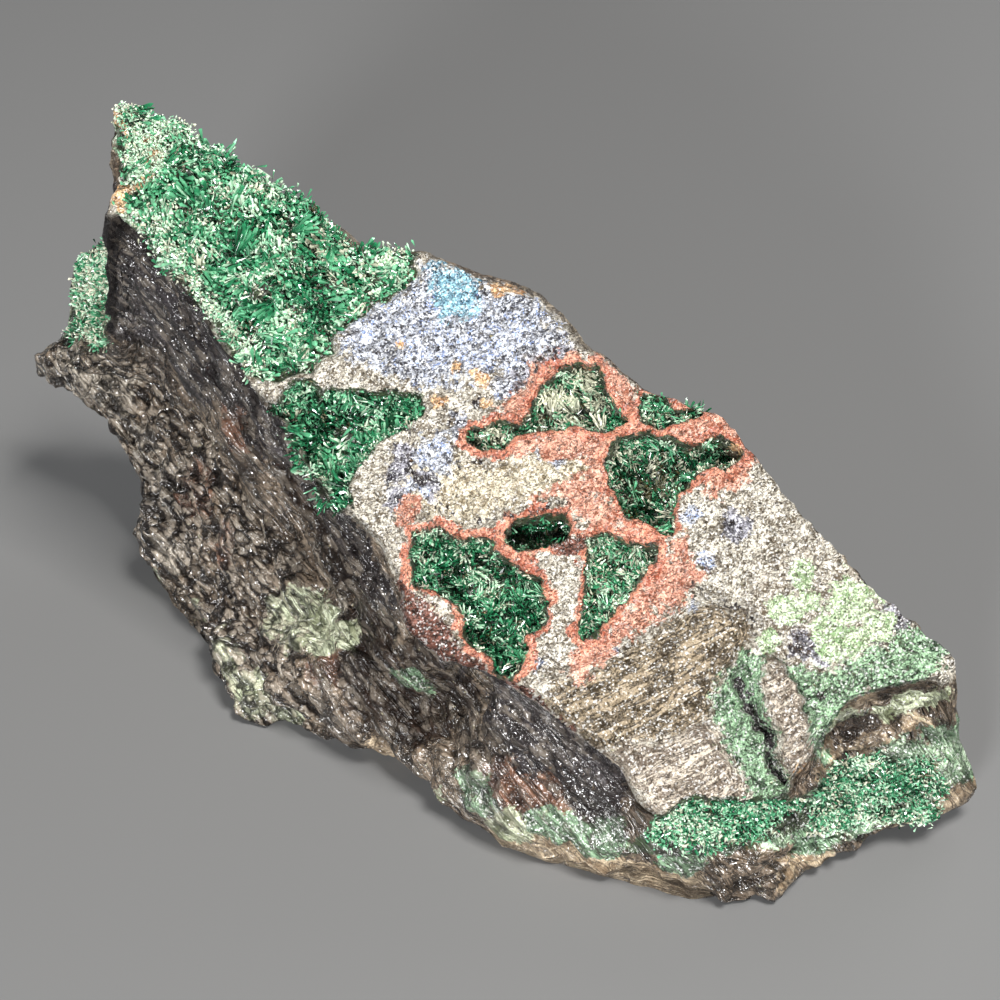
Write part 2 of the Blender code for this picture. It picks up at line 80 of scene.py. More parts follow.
view_back = np.array([math.sin(VIEW_TURN) * math.cos(VIEW_HEIGHT),
                      -math.cos(VIEW_TURN) * math.cos(VIEW_HEIGHT), math.sin(VIEW_HEIGHT)])
view_distance = VIEW_WIDTH * LENS_MM / SENSOR_MM


def aim(item, place, target):
    """Puts an object at place, looking at target along its own -Z, with its +Y upwards."""
    item.location = place
    item.rotation_mode = "QUATERNION"
    item.rotation_quaternion = (Vector(place) - Vector(target)).to_track_quat("Z", "Y")


camera_data = bpy.data.cameras.new("view_camera")
camera_data.lens = LENS_MM
camera_data.sensor_width = SENSOR_MM
camera_data.clip_start = NEAREST_SEEN
camera = bpy.data.objects.new("view_camera", camera_data)
bpy.context.scene.collection.objects.link(camera)
aim(camera, to_frame(VIEW_CENTRE + view_back * view_distance), to_frame(VIEW_CENTRE))
bpy.context.scene.camera = camera
print("camera distance in mm:", round(view_distance, 1))

# %% [markdown]
# A big plain plane is the table. Its grey is plain, so that the colours of the stone stand out.

# %% Floor
FLOOR_HALF = 3.0
FLOOR_COLOUR = (0.15, 0.15, 0.148)
FLOOR_ROUGHNESS = 0.75

floor_finish = bpy.data.materials.new("table_top")
floor_finish.use_nodes = True
floor_shader = floor_finish.node_tree.nodes["Principled BSDF"]
floor_shader.inputs["Base Color"].default_value = (*FLOOR_COLOUR, 1.0)
floor_shader.inputs["Roughness"].default_value = FLOOR_ROUGHNESS
floor_mesh = bpy.data.meshes.new("table_top")
floor_mesh.from_pydata([(-FLOOR_HALF, -FLOOR_HALF, 0.0), (FLOOR_HALF, -FLOOR_HALF, 0.0),
                        (FLOOR_HALF, FLOOR_HALF, 0.0), (-FLOOR_HALF, FLOOR_HALF, 0.0)], [], [(0, 1, 2, 3)])
floor_mesh.materials.append(floor_finish)
floor = bpy.data.objects.new("table_top", floor_mesh)
bpy.context.scene.collection.objects.link(floor)
print("table side in metres:", 2.0 * FLOOR_HALF)

# %% [markdown]
# Three soft boxes light the stone. The key light stands almost overhead and makes the broken face bright,
# the front light brings out the shaded long side, and a large weak one lifts the back. The world gives a
# little light from all round.

# %% Light
# Name, place, width, watts and colour of each soft box. All of them point at the same place.
LIGHTS = [("key_light", (0.19, -0.05, 0.57), 0.18, 4.7, (1.0, 0.985, 0.965)),
          ("front_light", (0.12, -0.70, 0.24), 0.14, 8.0, (0.98, 0.99, 1.0)),
          ("back_light", (0.10, 0.75, 0.40), 0.5, 2.0, (0.97, 0.985, 1.0))]
LIT_PLACE = (0.0, 0.0, 0.02)
ROOM_COLOUR = (0.9, 0.93, 1.0, 1.0)
ROOM_STRENGTH = 0.13

for name, place, width, watts, colour in LIGHTS:
    light = bpy.data.lights.new(name, "AREA")
    light.size = width
    light.energy = watts
    light.color = colour
    holder = bpy.data.objects.new(name, light)
    bpy.context.scene.collection.objects.link(holder)
    aim(holder, place, LIT_PLACE)
world = bpy.data.worlds.new("room")
bpy.context.scene.world = world
world.use_nodes = True
world.node_tree.nodes["Background"].inputs["Color"].default_value = ROOM_COLOUR
world.node_tree.nodes["Background"].inputs["Strength"].default_value = ROOM_STRENGTH
bpy.context.scene.view_settings.view_transform = "Standard"
print("soft boxes:", len(LIGHTS))

# %% [markdown]
# ## Noise
# Rock needs three kinds of disorder: smooth waves, flat broken facets, and round grains. Each is a small
# function of position that works on whole arrays. All of them start from a hash, which turns the corner of
# a cube into a number that looks random but is the same on every run.

# %% A fixed number for every corner
HASH_AXES = (73856093, 19349663, 83492791)
HASH_SEED = 40503
HASH_MIX = 73244475
HASH_BITS = 0xFFFFFFFF
HASH_SHIFTS = (15, 13)
LOW_BITS = 8
LARGEST_VALUE = 0xFFFF


def corner_value(index, seed):
    """A fixed value from -1 to 1 for each corner of a lattice of cubes."""
    hashed = (index[..., 0] * HASH_AXES[0]) ^ (index[..., 1] * HASH_AXES[1]) ^ (index[..., 2] * HASH_AXES[2])
    hashed = (hashed + seed * HASH_SEED) & HASH_BITS
    for shift in HASH_SHIFTS:
        hashed = ((hashed ^ (hashed >> shift)) * HASH_MIX) & HASH_BITS
    return 2.0 * ((hashed >> LOW_BITS) & LARGEST_VALUE) / LARGEST_VALUE - 1.0


print("values of one corner:", [round(float(corner_value(np.array([1, 2, 3]), seed)), 2)
                                for seed in range(4)])

# %% Place in a lattice


def in_lattice(points, cell, start):
    """Points in units of the side of a cube, counted from start, and the corner below each."""
    scaled = np.asarray(points, float) / cell + start
    return scaled, np.floor(scaled).astype(np.int64)


TRIED_PLACE = np.array([[1.0, 2.0, 3.0]])
print("corner below a place:", in_lattice(TRIED_PLACE, 2.0, 0.0)[1].tolist())

# %% Facets, waves and grains
FACET_TURN = np.array([[0.80, 0.36, -0.48], [-0.60, 0.48, -0.64], [0.0, 0.80, 0.60]])
BEAD_SHIFT = 0.38
BEAD_SHRINK = 1.3
# Where each kind starts to count its cubes, so that their lattices don't line up.
FACET_START, WAVE_START, GRAIN_START = 50.0, 70.0, 90.0


def facet_noise(points, cell, seed):
    """Flat facets from -1 to 1: each cube of side cell is six wedges, and the value is linear in each."""
    scaled, corner = in_lattice(points @ FACET_TURN, cell, FACET_START)
    part = scaled - corner
    order = np.argsort(-part, axis=-1)
    part = np.take_along_axis(part, order, axis=-1)
    share = np.concatenate([part, np.zeros_like(part[..., :1])], axis=-1)
    total = (1.0 - share[..., 0]) * corner_value(corner, seed)
    for step in range(3):
        corner = corner + np.eye(3, dtype=np.int64)[order[..., step]]
        total += (share[..., step] - share[..., step + 1]) * corner_value(corner, seed)
    return total


def wave_noise(points, cell, seed):
    """Smooth waves from -1 to 1: corner values of cubes of side cell, eased from one to the next."""
    scaled, corner = in_lattice(points, cell, WAVE_START)
    part = scaled - corner
    ease = part * part * (3.0 - 2.0 * part)
    total = np.zeros(scaled.shape[:-1])
    for step in np.ndindex(2, 2, 2):
        weight = np.prod(np.where(np.array(step) == 1, ease, 1.0 - ease), axis=-1)
        total += weight * corner_value(corner + np.array(step), seed)
    return total


def grain_noise(points, cell, seed):
    """Round grains from 0 to 1: one bead in every cube of side cell, highest at its middle."""
    scaled, corner = in_lattice(points, cell, GRAIN_START)
    nearest = np.full(scaled.shape[:-1], np.inf)
    for step in np.ndindex(3, 3, 3):
        cube = corner + np.array(step) - 1
        shift = np.stack([corner_value(cube, seed + axis) for axis in range(3)], -1)
        nearest = np.minimum(nearest, ((scaled - (cube + 0.5 + BEAD_SHIFT * shift)) ** 2).sum(-1))
    return np.clip(1.0 - nearest * BEAD_SHRINK, 0.0, 1.0)


print("noises at a place:", [round(float(kind(TRIED_PLACE, 4.0, 1)[0]), 2)
                             for kind in (facet_noise, wave_noise, grain_noise)])

# %% Small helpers for arrays


def layers(points, table):
    """Sum of noises, each given as (kind, cell, seed, height)."""
    return sum(height * kind(points, cell, seed) for kind, cell, seed, height in table)


def stepped(angle, sharpness):
    """Steps from -1 to 1: a sine wave made that much steeper and cut off flat."""
    return np.clip(sharpness * np.sin(angle), -1.0, 1.0)


def smooth_step(low, high, value):
    """0 below low, 1 above high, and an eased rise between."""
    share = np.clip((value - low) / (high - low), 0.0, 1.0)
    return share * share * (3.0 - 2.0 * share)


def unit(vectors):
    """Vectors scaled to length one."""
    return vectors / (np.linalg.norm(vectors, axis=-1, keepdims=True) + 1e-9)


def stretched(points, direction, factor):
    """Points squeezed along a direction, so that noise made from them is drawn out along it."""
    direction = np.array(direction) / np.linalg.norm(direction)
    return points - (points @ direction)[..., None] * direction * (1.0 - 1.0 / factor)


print("a smooth step at a quarter of its way:", round(float(smooth_step(0.0, 1.0, 0.25)), 3))

# %% [markdown]
# ## The form of the stone
# The stone is a closed loft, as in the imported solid. Rails run along it from the left tip to the right tip,
# and each cross-section joins them in order. A rail is a list of places that a sculptor would mark first:
# where the foot stands on the table, where the side bulges, where the edge breaks, where the ridge dips.

# %% Rails of the loft
FRONT_FOOT = [(-60, 3, 18), (-56, 3.5, 15.5), (-51, 3, 12.5), (-46, 1, 8), (-42, -2, 3), (-39, -6, 0),
              (-36, -8.6, 0), (-25, -15, 0), (-17, -20.6, 0), (-12, -19, 0), (-6, -19.3, 0), (1, -18, 0),
              (10, -21.5, 0), (17, -25.4, 0), (24, -24.6, 0), (30, -24.2, 0), (37, -23.4, 0), (42, -20, 0),
              (45, -16.8, 0), (49, -10.8, 0), (53, -7, 0.6), (57, -3, 1.2), (60, 1, 2)]
LOW_RIM = [(-60, 2, 18.5), (-56, 1, 17), (-50, -1, 16.8), (-45, -3.6, 15), (-41.5, -5, 10.5), (-38, -8.5, 7),
           (-25, -16, 5), (-17, -20.8, 3.5), (-10, -19.5, 6), (-4, -19.6, 5), (2, -19, 4), (10, -22.6, 4),
           (17, -25.8, 5), (24, -25.6, 5.5), (31, -25.4, 5.5), (37, -24, 4.5), (42, -20.4, 3.8),
           (46, -15.6, 3.6), (50, -11, 3.8), (54, -8, 4), (58, -3.5, 4), (60, 0, 3)]
HOLLOW_SIDE = [(-60, 1.5, 19), (-56, -0.5, 19.5), (-50, -2, 21), (-44, -1.5, 22), (-38, -1.8, 22),
               (-30, -3.2, 21), (-20, -8.5, 17), (-11, -14.4, 14), (-3, -16.2, 12), (4, -18.4, 11),
               (11, -20.6, 12), (17, -23.2, 11), (24, -23.6, 9), (32, -24, 7.4), (38, -21.8, 6.4),
               (42, -19, 6.4), (45, -15.2, 7), (48, -10.8, 8.4), (51, -8.4, 9), (54, -6, 9), (58, -2, 6),
               (60, 0.6, 4)]
UNDER_EDGE = [(-60, 2, 20), (-56, 0, 23.6), (-50, -2.6, 25), (-44, -2.6, 28.6), (-41, -3, 38), (-38, -5, 47),
              (-30, -6.6, 42), (-20, -10.6, 35.5), (-10, -15.4, 28), (-4, -17.8, 23.5), (3, -20, 19.5),
              (10, -21.4, 17), (17, -22.4, 14.6), (24, -23.2, 12), (31, -23.4, 9.6), (37, -21.8, 8.8),
              (41, -19, 9.2), (44, -16.4, 10), (46, -11, 12), (48, -6.6, 14), (50, -4.6, 15),
              (54, -1.6, 14.6), (57, 0, 8.5), (60, 1, 4.2)]
NEAR_EDGE = [(-60, 3, 20.5), (-58, 4.6, 20.8), (-56.6, 5.6, 23.5), (-56, 6, 27.6), (-53, 4, 29.4),
             (-49, 0.4, 31), (-44, -2.6, 35), (-42, -4, 43), (-40.2, -5.4, 51), (-38.5, -6, 52),
             (-35, -6.5, 50.5), (-30.5, -8, 47.5), (-25.5, -9.5, 44.5), (-19, -12, 39.5),
             (-13.5, -12.6, 37.4), (-10, -15, 34), (-5, -16.5, 31), (-1.5, -17, 29), (2, -19, 26),
             (4, -21.5, 23), (8.5, -22, 21), (13, -20.6, 20.4), (18.5, -20.5, 18.5), (24.5, -21, 16),
             (28.5, -21, 14), (31, -22.8, 11.6), (34, -23, 10.6), (38, -21.4, 10.2), (41, -18.6, 10.8),
             (44, -16, 12), (45.4, -11, 15.4), (47, -6, 18.8), (50, -3.4, 19.4), (54, 0, 19.8), (55.2, 1, 17),
             (56.2, 1, 13), (58.5, 1.4, 7.5), (60, 1.5, 4.6)]
RIDGE = [(-60, 5, 21), (-57.8, 6.6, 21.8), (-56.9, 6.6, 24.4), (-56.5, 6.6, 33), (-51, 5.4, 38),
         (-46, 3.6, 42), (-44, 3.2, 45), (-43.6, 2.6, 58), (-43, 2.2, 60.4), (-40.5, 3, 60), (-39, 2.6, 59),
         (-36.5, 4, 59.2), (-32, 3.5, 57), (-26.5, 4, 55), (-22, 4, 53.5), (-19.5, 3.6, 52), (-17, 2.5, 50.2),
         (-13, 4, 49.6), (-8, 6, 49.4), (-2, 7, 47.5), (4.5, 8.5, 46), (7.5, 7.6, 44.4), (10, 6.6, 43),
         (17.5, 7, 40), (26, 8.4, 38), (31, 7, 35), (38.5, 5, 30.2), (43.5, 4, 27), (51, 2.6, 23.2),
         (55.3, 2.4, 20.8), (56.1, 2.4, 15), (57.5, 2.4, 9.5), (60, 2.2, 5)]
UPPER_BACK = [(-60, 6.6, 20.5), (-58, 8.2, 20.8), (-56.4, 8.6, 26), (-50, 10.6, 32), (-45, 9.4, 38),
              (-42.6, 8, 49), (-36, 9.6, 50), (-22, 11.4, 42.5), (-8, 13.6, 38), (6, 14.4, 31.5),
              (20, 13.6, 25.5), (34, 11.4, 20), (46, 8, 14.5), (52, 5.8, 12), (55.5, 4, 10), (57.5, 3.6, 8),
              (60, 3, 4.6)]
LOWER_BACK = [(-60, 7, 19.4), (-56, 11, 18.5), (-50, 14.4, 20), (-41, 17.6, 25), (-26, 19.4, 25),
              (-10, 21.4, 21), (8, 22, 18), (22, 20, 15.6), (38, 16, 11), (46, 12, 9), (52, 8.6, 8),
              (56, 5.4, 6.4), (60, 3.2, 4)]
BACK_FOOT = [(-60, 6, 17.6), (-52, 9.2, 11.5), (-44, 12, 5), (-39, 14.4, 0), (-20, 16.8, 0), (0, 18.6, 0),
             (20, 17.2, 0), (36, 13.6, 0), (50, 7.6, 0), (57, 4, 1), (60, 2.6, 2.4)]
print("knots of the near edge and the ridge:", len(NEAR_EDGE), len(RIDGE))

# %% [markdown]
# Between two rails the surface is a strip of faces. The broken face gets most of them, because most of what
# is seen lies there. The cross-sections stand closer together on the steep wall below the peak, and they
# shrink towards both ends, which rounds the tips.

# %% Cross-sections of the loft
# The rails in order round the stone: how many faces the strip after each has, and how rough it is there.
LOFT = [(FRONT_FOOT, 14, 0.3), (LOW_RIM, 24, 0.5), (HOLLOW_SIDE, 26, 0.6), (UNDER_EDGE, 10, 0.4),
        (NEAR_EDGE, 124, 0.12), (RIDGE, 16, 0.12), (UPPER_BACK, 24, 1.0), (LOWER_BACK, 18, 1.0),
        (BACK_FOOT, 12, 0.4)]
FACE_STRIP, RIDGE_STRIP, UNDERSIDE_STRIP = 4, 5, 8
STONE_END = 60.0
STATION_GAP = 0.37
WALL_STATION_GAP = 0.14
PEAK_WALL = (-44.6, -41.4)


def stations():
    """The x of every cross-section: even steps, closer together on the wall below the peak."""
    before = np.arange(-STONE_END, PEAK_WALL[0], STATION_GAP)
    wall = np.arange(PEAK_WALL[0], PEAK_WALL[1], WALL_STATION_GAP)
    after = np.linspace(PEAK_WALL[1], STONE_END, int((STONE_END - PEAK_WALL[1]) / STATION_GAP))
    return np.concatenate([before, wall, after])


print("cross-sections:", len(stations()))

# %% Grid of the loft
END_ROUNDING = 2.0
END_SIZE = 0.25


def rail_at(rail, x):
    """The rail's points at the stations x: straight between its knots."""
    knots = np.array(rail, float)
    return np.stack([x, np.interp(x, knots[:, 0], knots[:, 1]), np.interp(x, knots[:, 0], knots[:, 2])], -1)


def loft_grid():
    """Points (station, row) round each cross-section, with each row's strip and roughness."""
    x = stations()
    rows, strip_of_row, roughness = [], [], []
    for strip, (start, count, rough) in enumerate(LOFT):
        end, _, end_rough = LOFT[(strip + 1) % len(LOFT)]
        first, last = rail_at(start, x), rail_at(end, x)
        share = np.arange(count) / count
        rows.append(first[:, None] + (last - first)[:, None] * share[:, None])
        strip_of_row.append(np.full(count, strip))
        roughness.append(rough + (end_rough - rough) * share)
    grid = np.concatenate(rows, axis=1)
    middle = grid.mean(axis=1, keepdims=True)
    closing = np.clip(np.minimum(x - x[0], x[-1] - x) / END_ROUNDING, 0.0, 1.0)
    size = END_SIZE + (1.0 - END_SIZE) * np.sqrt(1.0 - (1.0 - closing) ** 2)[:, None, None]
    return middle + (grid - middle) * size, np.concatenate(strip_of_row), np.concatenate(roughness)


grid, strip_of_row, roughness = loft_grid()
print("stations and rows of the stone:", grid.shape[:2])

# %% [markdown]
# The stone has three kinds of surface: the broken face, the shaded long side and the back. Each has relief
# of its own, and a soft share for every row lets one fade into the next.

# %% Kinds of surface
FADE_ROWS = 9


def soft_share(rows):
    """Share of the rows near each row that belong to a kind of surface."""
    window = np.hanning(FADE_ROWS + 2)[1:-1]
    around = np.concatenate([rows[-FADE_ROWS:], rows, rows[:FADE_ROWS]]).astype(float)
    return np.convolve(around, window / window.sum(), "same")[FADE_ROWS:-FADE_ROWS]


on_face = np.broadcast_to(strip_of_row == FACE_STRIP, grid.shape[:2])
face_share = soft_share(strip_of_row == FACE_STRIP)
side_share = soft_share(strip_of_row < FACE_STRIP)
back_share = 1.0 - face_share - side_share
ridge_row = np.flatnonzero(strip_of_row == RIDGE_STRIP)[0]
rows_past_ridge = np.arange(grid.shape[1]) - ridge_row
print("rows of the broken face:", int((strip_of_row == FACE_STRIP).sum()))

# %% [markdown]
# ## Broad relief
# The stone broke along flat facets, so its relief starts with flat facets of two sizes. Single lumps and
# dents stand where the real one has them. The thin right end is built of layers, which show as steps, and
# the shaded long side has ribs that run down to the right, as the edge above them does.

# %% Lumps and dents
# Centre, reach along x, y and z, and height of each.
KNOBS = [((-57, 1, 21), (4.5, 4, 3.6), 1.6), ((-49, -3, 20), (4, 4, 3), 1.4), ((-47, -4, 15), (4, 4, 4), 0.3),
         ((-57, 7, 33), (2.6, 4, 3), 0.8), ((-41, -5, 20), (6, 4, 3.6), 0.8), ((-2, -19, 4), (6, 4, 4), 1.4),
         ((-33, 0, 14), (8, 6, 6), -1.6), ((-12, -14, 20), (9, 6, 6), -1), ((17, -25, 8), (6, 4, 5), 0.9),
         ((8, -21, 12), (3.5, 4, 4), -1.6), ((11, -20, 17), (2.2, 3, 2.2), -2.6),
         ((0, 4, 45), (10, 8, 8), 1.4), ((7, 3, 43), (6, 5, 5), 0.8), ((-3, -9, 36), (7, 6, 6), 1),
         ((12, -4, 34), (7, 5, 5), 0.7), ((30, 1, 33), (9, 7, 7), 0.9), ((22, -12, 23), (6, 5, 5), -0.9),
         ((40, -12, 16), (3, 4, 4), 1.2), ((-30, 13, 44), (12, 8, 9), 0.6), ((-6, 19, 32), (10, 8, 8), -1.6),
         ((18, 18, 26), (11, 8, 8), 1.6), ((36, 14, 19), (9, 7, 7), -1.2), ((-38, 17, 14), (9, 8, 8), -1.4),
         ((2, 20, 9), (12, 8, 6), 1)]


def bumps_at(points, places):
    """Sum of soft lumps: each has a centre, a reach along x, y and z, and a height."""
    height = np.zeros(points.shape[:-1])
    for centre, reach, rise in places:
        height += rise * np.exp(-(((points - np.array(centre)) / np.array(reach)) ** 2).sum(-1))
    return height


print("lumps and dents:", len(KNOBS))

# %% Broad relief
BROAD_FACETS = [(17.0, 5.0), (7.0, 2.0)]
RIB_WAY = (0.55, 0.75)
RIBS = [(0.35, 1.35, 0.0), (0.25, 2.9, 1.0)]
RIBBED_X = (-42.0, 4.0)
RIBBED_Y = 2.0
LAYER_PITCH = 5.2
LAYER_STEP = 0.5
LAYER_DIP = 0.12
STEP_SHARPNESS = 3.0
LAYERS_FROM_X = 38.0
LAYERS_FADE = 5.0


def broad_relief(points):
    """Lumps, facets, ribs of the shaded side and layers of the thin end, in millimetres."""
    height = bumps_at(points, KNOBS)
    for seed, (width, tall) in enumerate(BROAD_FACETS):
        height += roughness * tall * facet_noise(points, width, seed)
    x, y, z = points[..., 0], points[..., 1], points[..., 2]
    ribbed = (y < RIBBED_Y) & ~on_face & (x < RIBBED_X[1]) & (x > RIBBED_X[0])
    across = z * RIB_WAY[1] + x * RIB_WAY[0]
    height += ribbed * sum(tall * np.sin(across * pace + start) for tall, pace, start in RIBS)
    layered = np.clip((x - LAYERS_FROM_X) / LAYERS_FADE, 0.0, 1.0) * ~on_face
    turns = (z - LAYER_DIP * x) / LAYER_PITCH
    return height + layered * LAYER_STEP * stepped(2.0 * math.pi * turns, STEP_SHARPNESS)


relief = broad_relief(grid)
print("broad relief from", round(float(relief.min()), 2), "to", round(float(relief.max()), 2))

# %% Put the broad relief on
RELIEF_END = 60.6
RELIEF_FADE = 5.0


def grid_normals(points):
    """Outward unit normals of a grid whose rows close on themselves."""
    along = np.gradient(points, axis=0)
    around = np.roll(points, -1, axis=1) - np.roll(points, 1, axis=1)
    normal = np.cross(along, around)
    normal /= np.linalg.norm(normal, axis=-1, keepdims=True) + 1e-9
    outward = points - points.mean(axis=1, keepdims=True)
    return normal if (normal * outward).sum() > 0 else -normal


from_end = np.minimum(grid[:, :1, 0] + RELIEF_END, RELIEF_END - grid[:, :1, 0])
end_weight = np.clip(from_end / RELIEF_FADE, 0.0, 1.0)
broad = grid + grid_normals(grid) * (relief * end_weight)[..., None]
x, y, z = broad[..., 0], broad[..., 1], broad[..., 2]
print("size of the rough stone in mm:", np.round(np.ptp(broad, axis=(0, 1)), 1).tolist())

# %% [markdown]
# ## Where things lie on the broken face
# Most of what the eye sees lies on one broken face, a plane that leans back at 41 degrees and is turned 27
# degrees. On it every place has two coordinates: h runs level along it and s up it. The two crusts on
# other slopes have such frames of their own.

# %% Frames of the slopes
FACE_TURN = math.radians(27.0)
FACE_SLOPE = math.radians(41.0)
FACE_POINT = (8.1, -8.2, 32.1)
FACE_OUT = (math.sin(FACE_TURN) * math.sin(FACE_SLOPE), -math.cos(FACE_TURN) * math.sin(FACE_SLOPE),
            math.cos(FACE_SLOPE))


def slope_frame(point, out):
    """The frame of a slope: rows are level along it, up it and out of it, with the point as origin."""
    out = np.array(out) / np.linalg.norm(out)
    along = np.cross((0.0, 0.0, 1.0), out)
    along /= np.linalg.norm(along)
    return np.array(point), np.stack([along, np.cross(out, along), out])


def into_slope(points, frame_of_slope):
    """Coordinates (h, s, c) of points in a slope's frame."""
    origin, axes = frame_of_slope
    return (points - origin) @ axes.T


FACE = slope_frame(FACE_POINT, FACE_OUT)
END_SLOPE_FRAME = slope_frame((51.0, -8.8, 8.6), (0.42, -0.74, 0.52))
LEFT_LEDGE_FRAME = slope_frame((-49.2, 1.6, 33.1), (-0.61, -0.734, 0.299))
face_local = into_slope(broad, FACE)
print("way out of the broken face:", np.round(FACE[1][2], 2).tolist())

# %% [markdown]
# ## The hollows
# Each hollow is an outline on its slope and a depth. The same outline cuts the stone, colours the rim and
# says where crystals grow.

# %% Outlines of the hollows
VUG_WEST = [(-9, -3.5), (-9.5, -9), (-7, -9.5), (-4.2, -11), (-3.5, -14.5), (-1.2, -16.4), (-0.6, -18.2),
            (1.2, -18.6), (3.2, -16.2), (2.4, -14.2), (4.5, -12.5), (5, -10.5), (4, -8), (0.5, -6),
            (-0.8, -4.2), (-4, -4), (-6.5, -3)]
VUG_SLIT = [(0.6, -3.8), (1.4, -5.2), (5, -5), (7.6, -3.4), (7, -1.8), (4, -1.7), (1.5, -2.2)]
VUG_WEDGE = [(9, -4), (9, -9.5), (8, -13.3), (8.6, -14.6), (10.2, -14), (11.6, -11.5), (13.2, -10.2),
             (15, -7.5), (16.4, -5.2), (13.5, -4.4), (11, -3.5)]
VUG_MAIN = [(11, 4), (11.4, 1.5), (13, -2), (15.5, -2.6), (16.6, -3.9), (18, -3.9), (18.5, 0.5), (20, 2),
            (21.5, 3.4), (23.5, 2.8), (25.5, 4.8), (23, 6.6), (20, 5.5), (17.4, 6.6), (15.5, 7.4), (12, 6.5)]
VUG_NORTH = [(6, 14), (3.5, 10.6), (2.5, 8.1), (-0.5, 8), (-3.5, 6.9), (-2, 5.4), (0.2, 5.2), (1.6, 6.7),
             (5, 7.5), (8.5, 7.2), (11, 6.9), (13.4, 8.5), (12, 9.9), (11, 12), (10, 14.2)]
VUG_NORTHEAST = [(14.6, 11.2), (14.4, 9.8), (15, 8.4), (17, 7.5), (18.6, 7.5), (20.8, 9), (20.6, 9.9),
                 (18.6, 9.2), (17.8, 10), (16, 11.4)]
NOTCH = [(-23.8, 10.3), (-22.2, 7.2), (-19.6, 3.2), (-17.6, -0.6), (-15.4, -0.6), (-15.4, 2), (-14, 4.5),
         (-10.5, 7), (-8, 9), (-8, 11.2), (-14, 11.6), (-16.5, 12.2), (-18.5, 11.3), (-19.5, 12.6),
         (-21.5, 12.6)]
PEAK_CUT = [(-48, 50), (-48, 29), (-35.4, 22.4), (-31.2, 17.6), (-29.2, 13.6), (-24.9, 12.2), (-19.6, 13.1),
            (-17.2, 15.8), (-17, 17.6), (-10.6, 21.4), (-8.2, 23.8), (-8.2, 30), (-16, 34), (-30, 44)]
FRONT_SEAM = [(12.4, -36.2), (22.5, -36.2), (29, -34.6), (32, -32.6), (31.6, -30.6), (27, -30.4), (24.5, -31),
              (21.5, -30.4), (18.5, -31), (15.5, -33.2)]
END_SLOPE = [(-5.6, -2.6), (-2, -3.8), (3, -3.2), (8.2, -3.6), (9.4, -0.4), (7.6, 2.6), (4, 2.2), (0.5, 3.8),
             (-3.5, 3.2), (-5.4, 1)]
LEFT_LEDGE = [(-7.6, -2.6), (-6.6, 0.2), (-3, 4.6), (0.4, 7.4), (2.2, 9.4), (3.4, 8), (4.2, 5), (4.6, 1),
              (5.2, -2.4), (2.6, -5), (-2, -6.4), (-3.4, -8.2), (-5.6, -8.6), (-5, -5.6), (-6.8, -4.8)]
LEFT_LEDGE_CUT = [(-11.5, -2), (-6.5, 5), (-2, 9.6), (2.2, 12.6), (4.4, 9), (5, 5), (5.4, 1), (6.2, -2.8),
                  (3, -6), (-1.4, -7.2), (-2.6, -8.6), (-4.6, -10), (-8, -10.4), (-11.5, -6)]
PEAK_DRUSE = [(-41, 43.4), (-40.6, 35.5), (-39.6, 31.5), (-34.4, 24.2), (-30, 19.2), (-27.8, 15.2),
              (-24.8, 12.6), (-20, 13.7), (-18, 16), (-17.4, 18), (-11, 21.8), (-8.6, 24), (-8.8, 27.5),
              (-13, 28.5), (-18.2, 31), (-22, 34), (-25.5, 37.4), (-30.5, 40.4), (-34, 42.4), (-37, 43.6)]
print("points of the outline of the main hollow:", len(VUG_MAIN))

# %% Hollows and crusts
# Node of the crust, the outline pressed into the stone, the outline its crystals fill, its frame, how deep
# the crystals' floor lies, how much higher it is at the rim, how wide the wall is, and if the rim is red.
SITES = [("crust_vug_west", VUG_WEST, VUG_WEST, FACE, 3.9, 1.2, 0.3, True),
         ("crust_vug_slit", VUG_SLIT, VUG_SLIT, FACE, 4.4, 0.4, 0.3, True),
         ("crust_vug_wedge", VUG_WEDGE, VUG_WEDGE, FACE, 3.5, 1.2, 0.3, True),
         ("crust_vug_main", VUG_MAIN, VUG_MAIN, FACE, 4.7, 1.6, 0.35, True),
         ("crust_vug_north", VUG_NORTH, VUG_NORTH, FACE, 3.1, 0.9, 0.35, True),
         ("crust_vug_northeast", VUG_NORTHEAST, VUG_NORTHEAST, FACE, 2.8, 0.9, 0.35, True),
         ("druse_edge_notch", NOTCH, NOTCH, FACE, 4.4, 1.4, 0.6, False),
         ("druse_peak_face", PEAK_CUT, PEAK_DRUSE, FACE, 1.3, 0.4, 1.0, False),
         ("crust_front_seam", FRONT_SEAM, FRONT_SEAM, FACE, 2.2, 0.8, 0.6, False),
         ("crust_end_slope", END_SLOPE, END_SLOPE, END_SLOPE_FRAME, 0.7, 0.3, 0.8, False),
         ("crust_left_ledge", LEFT_LEDGE_CUT, LEFT_LEDGE, LEFT_LEDGE_FRAME, 0.9, 0.3, 0.8, False)]


def edge_distance(places, outline):
    """Distance of places (h, s) from an outline: positive inside it."""
    start = np.array(outline, float)
    run = np.roll(start, -1, axis=0) - start
    nearest = np.full(places.shape[:-1], np.inf)
    crossings = np.zeros(places.shape[:-1], int)
    for (start_h, start_s), (run_h, run_s) in zip(start, run):
        to_h, to_s = places[..., 0] - start_h, places[..., 1] - start_s
        share = np.clip((to_h * run_h + to_s * run_s) / (run_h ** 2 + run_s ** 2), 0.0, 1.0)
        nearest = np.minimum(nearest, np.hypot(to_h - share * run_h, to_s - share * run_s))
        crosses = (to_s < 0.0) != (to_s - run_s < 0.0)
        hit = to_s / (run_s if run_s else 1.0) * run_h
        crossings += crosses & (to_h < hit)
    return np.where(crossings % 2 == 1, nearest, -nearest)


print("hollows and crusts:", len(SITES))

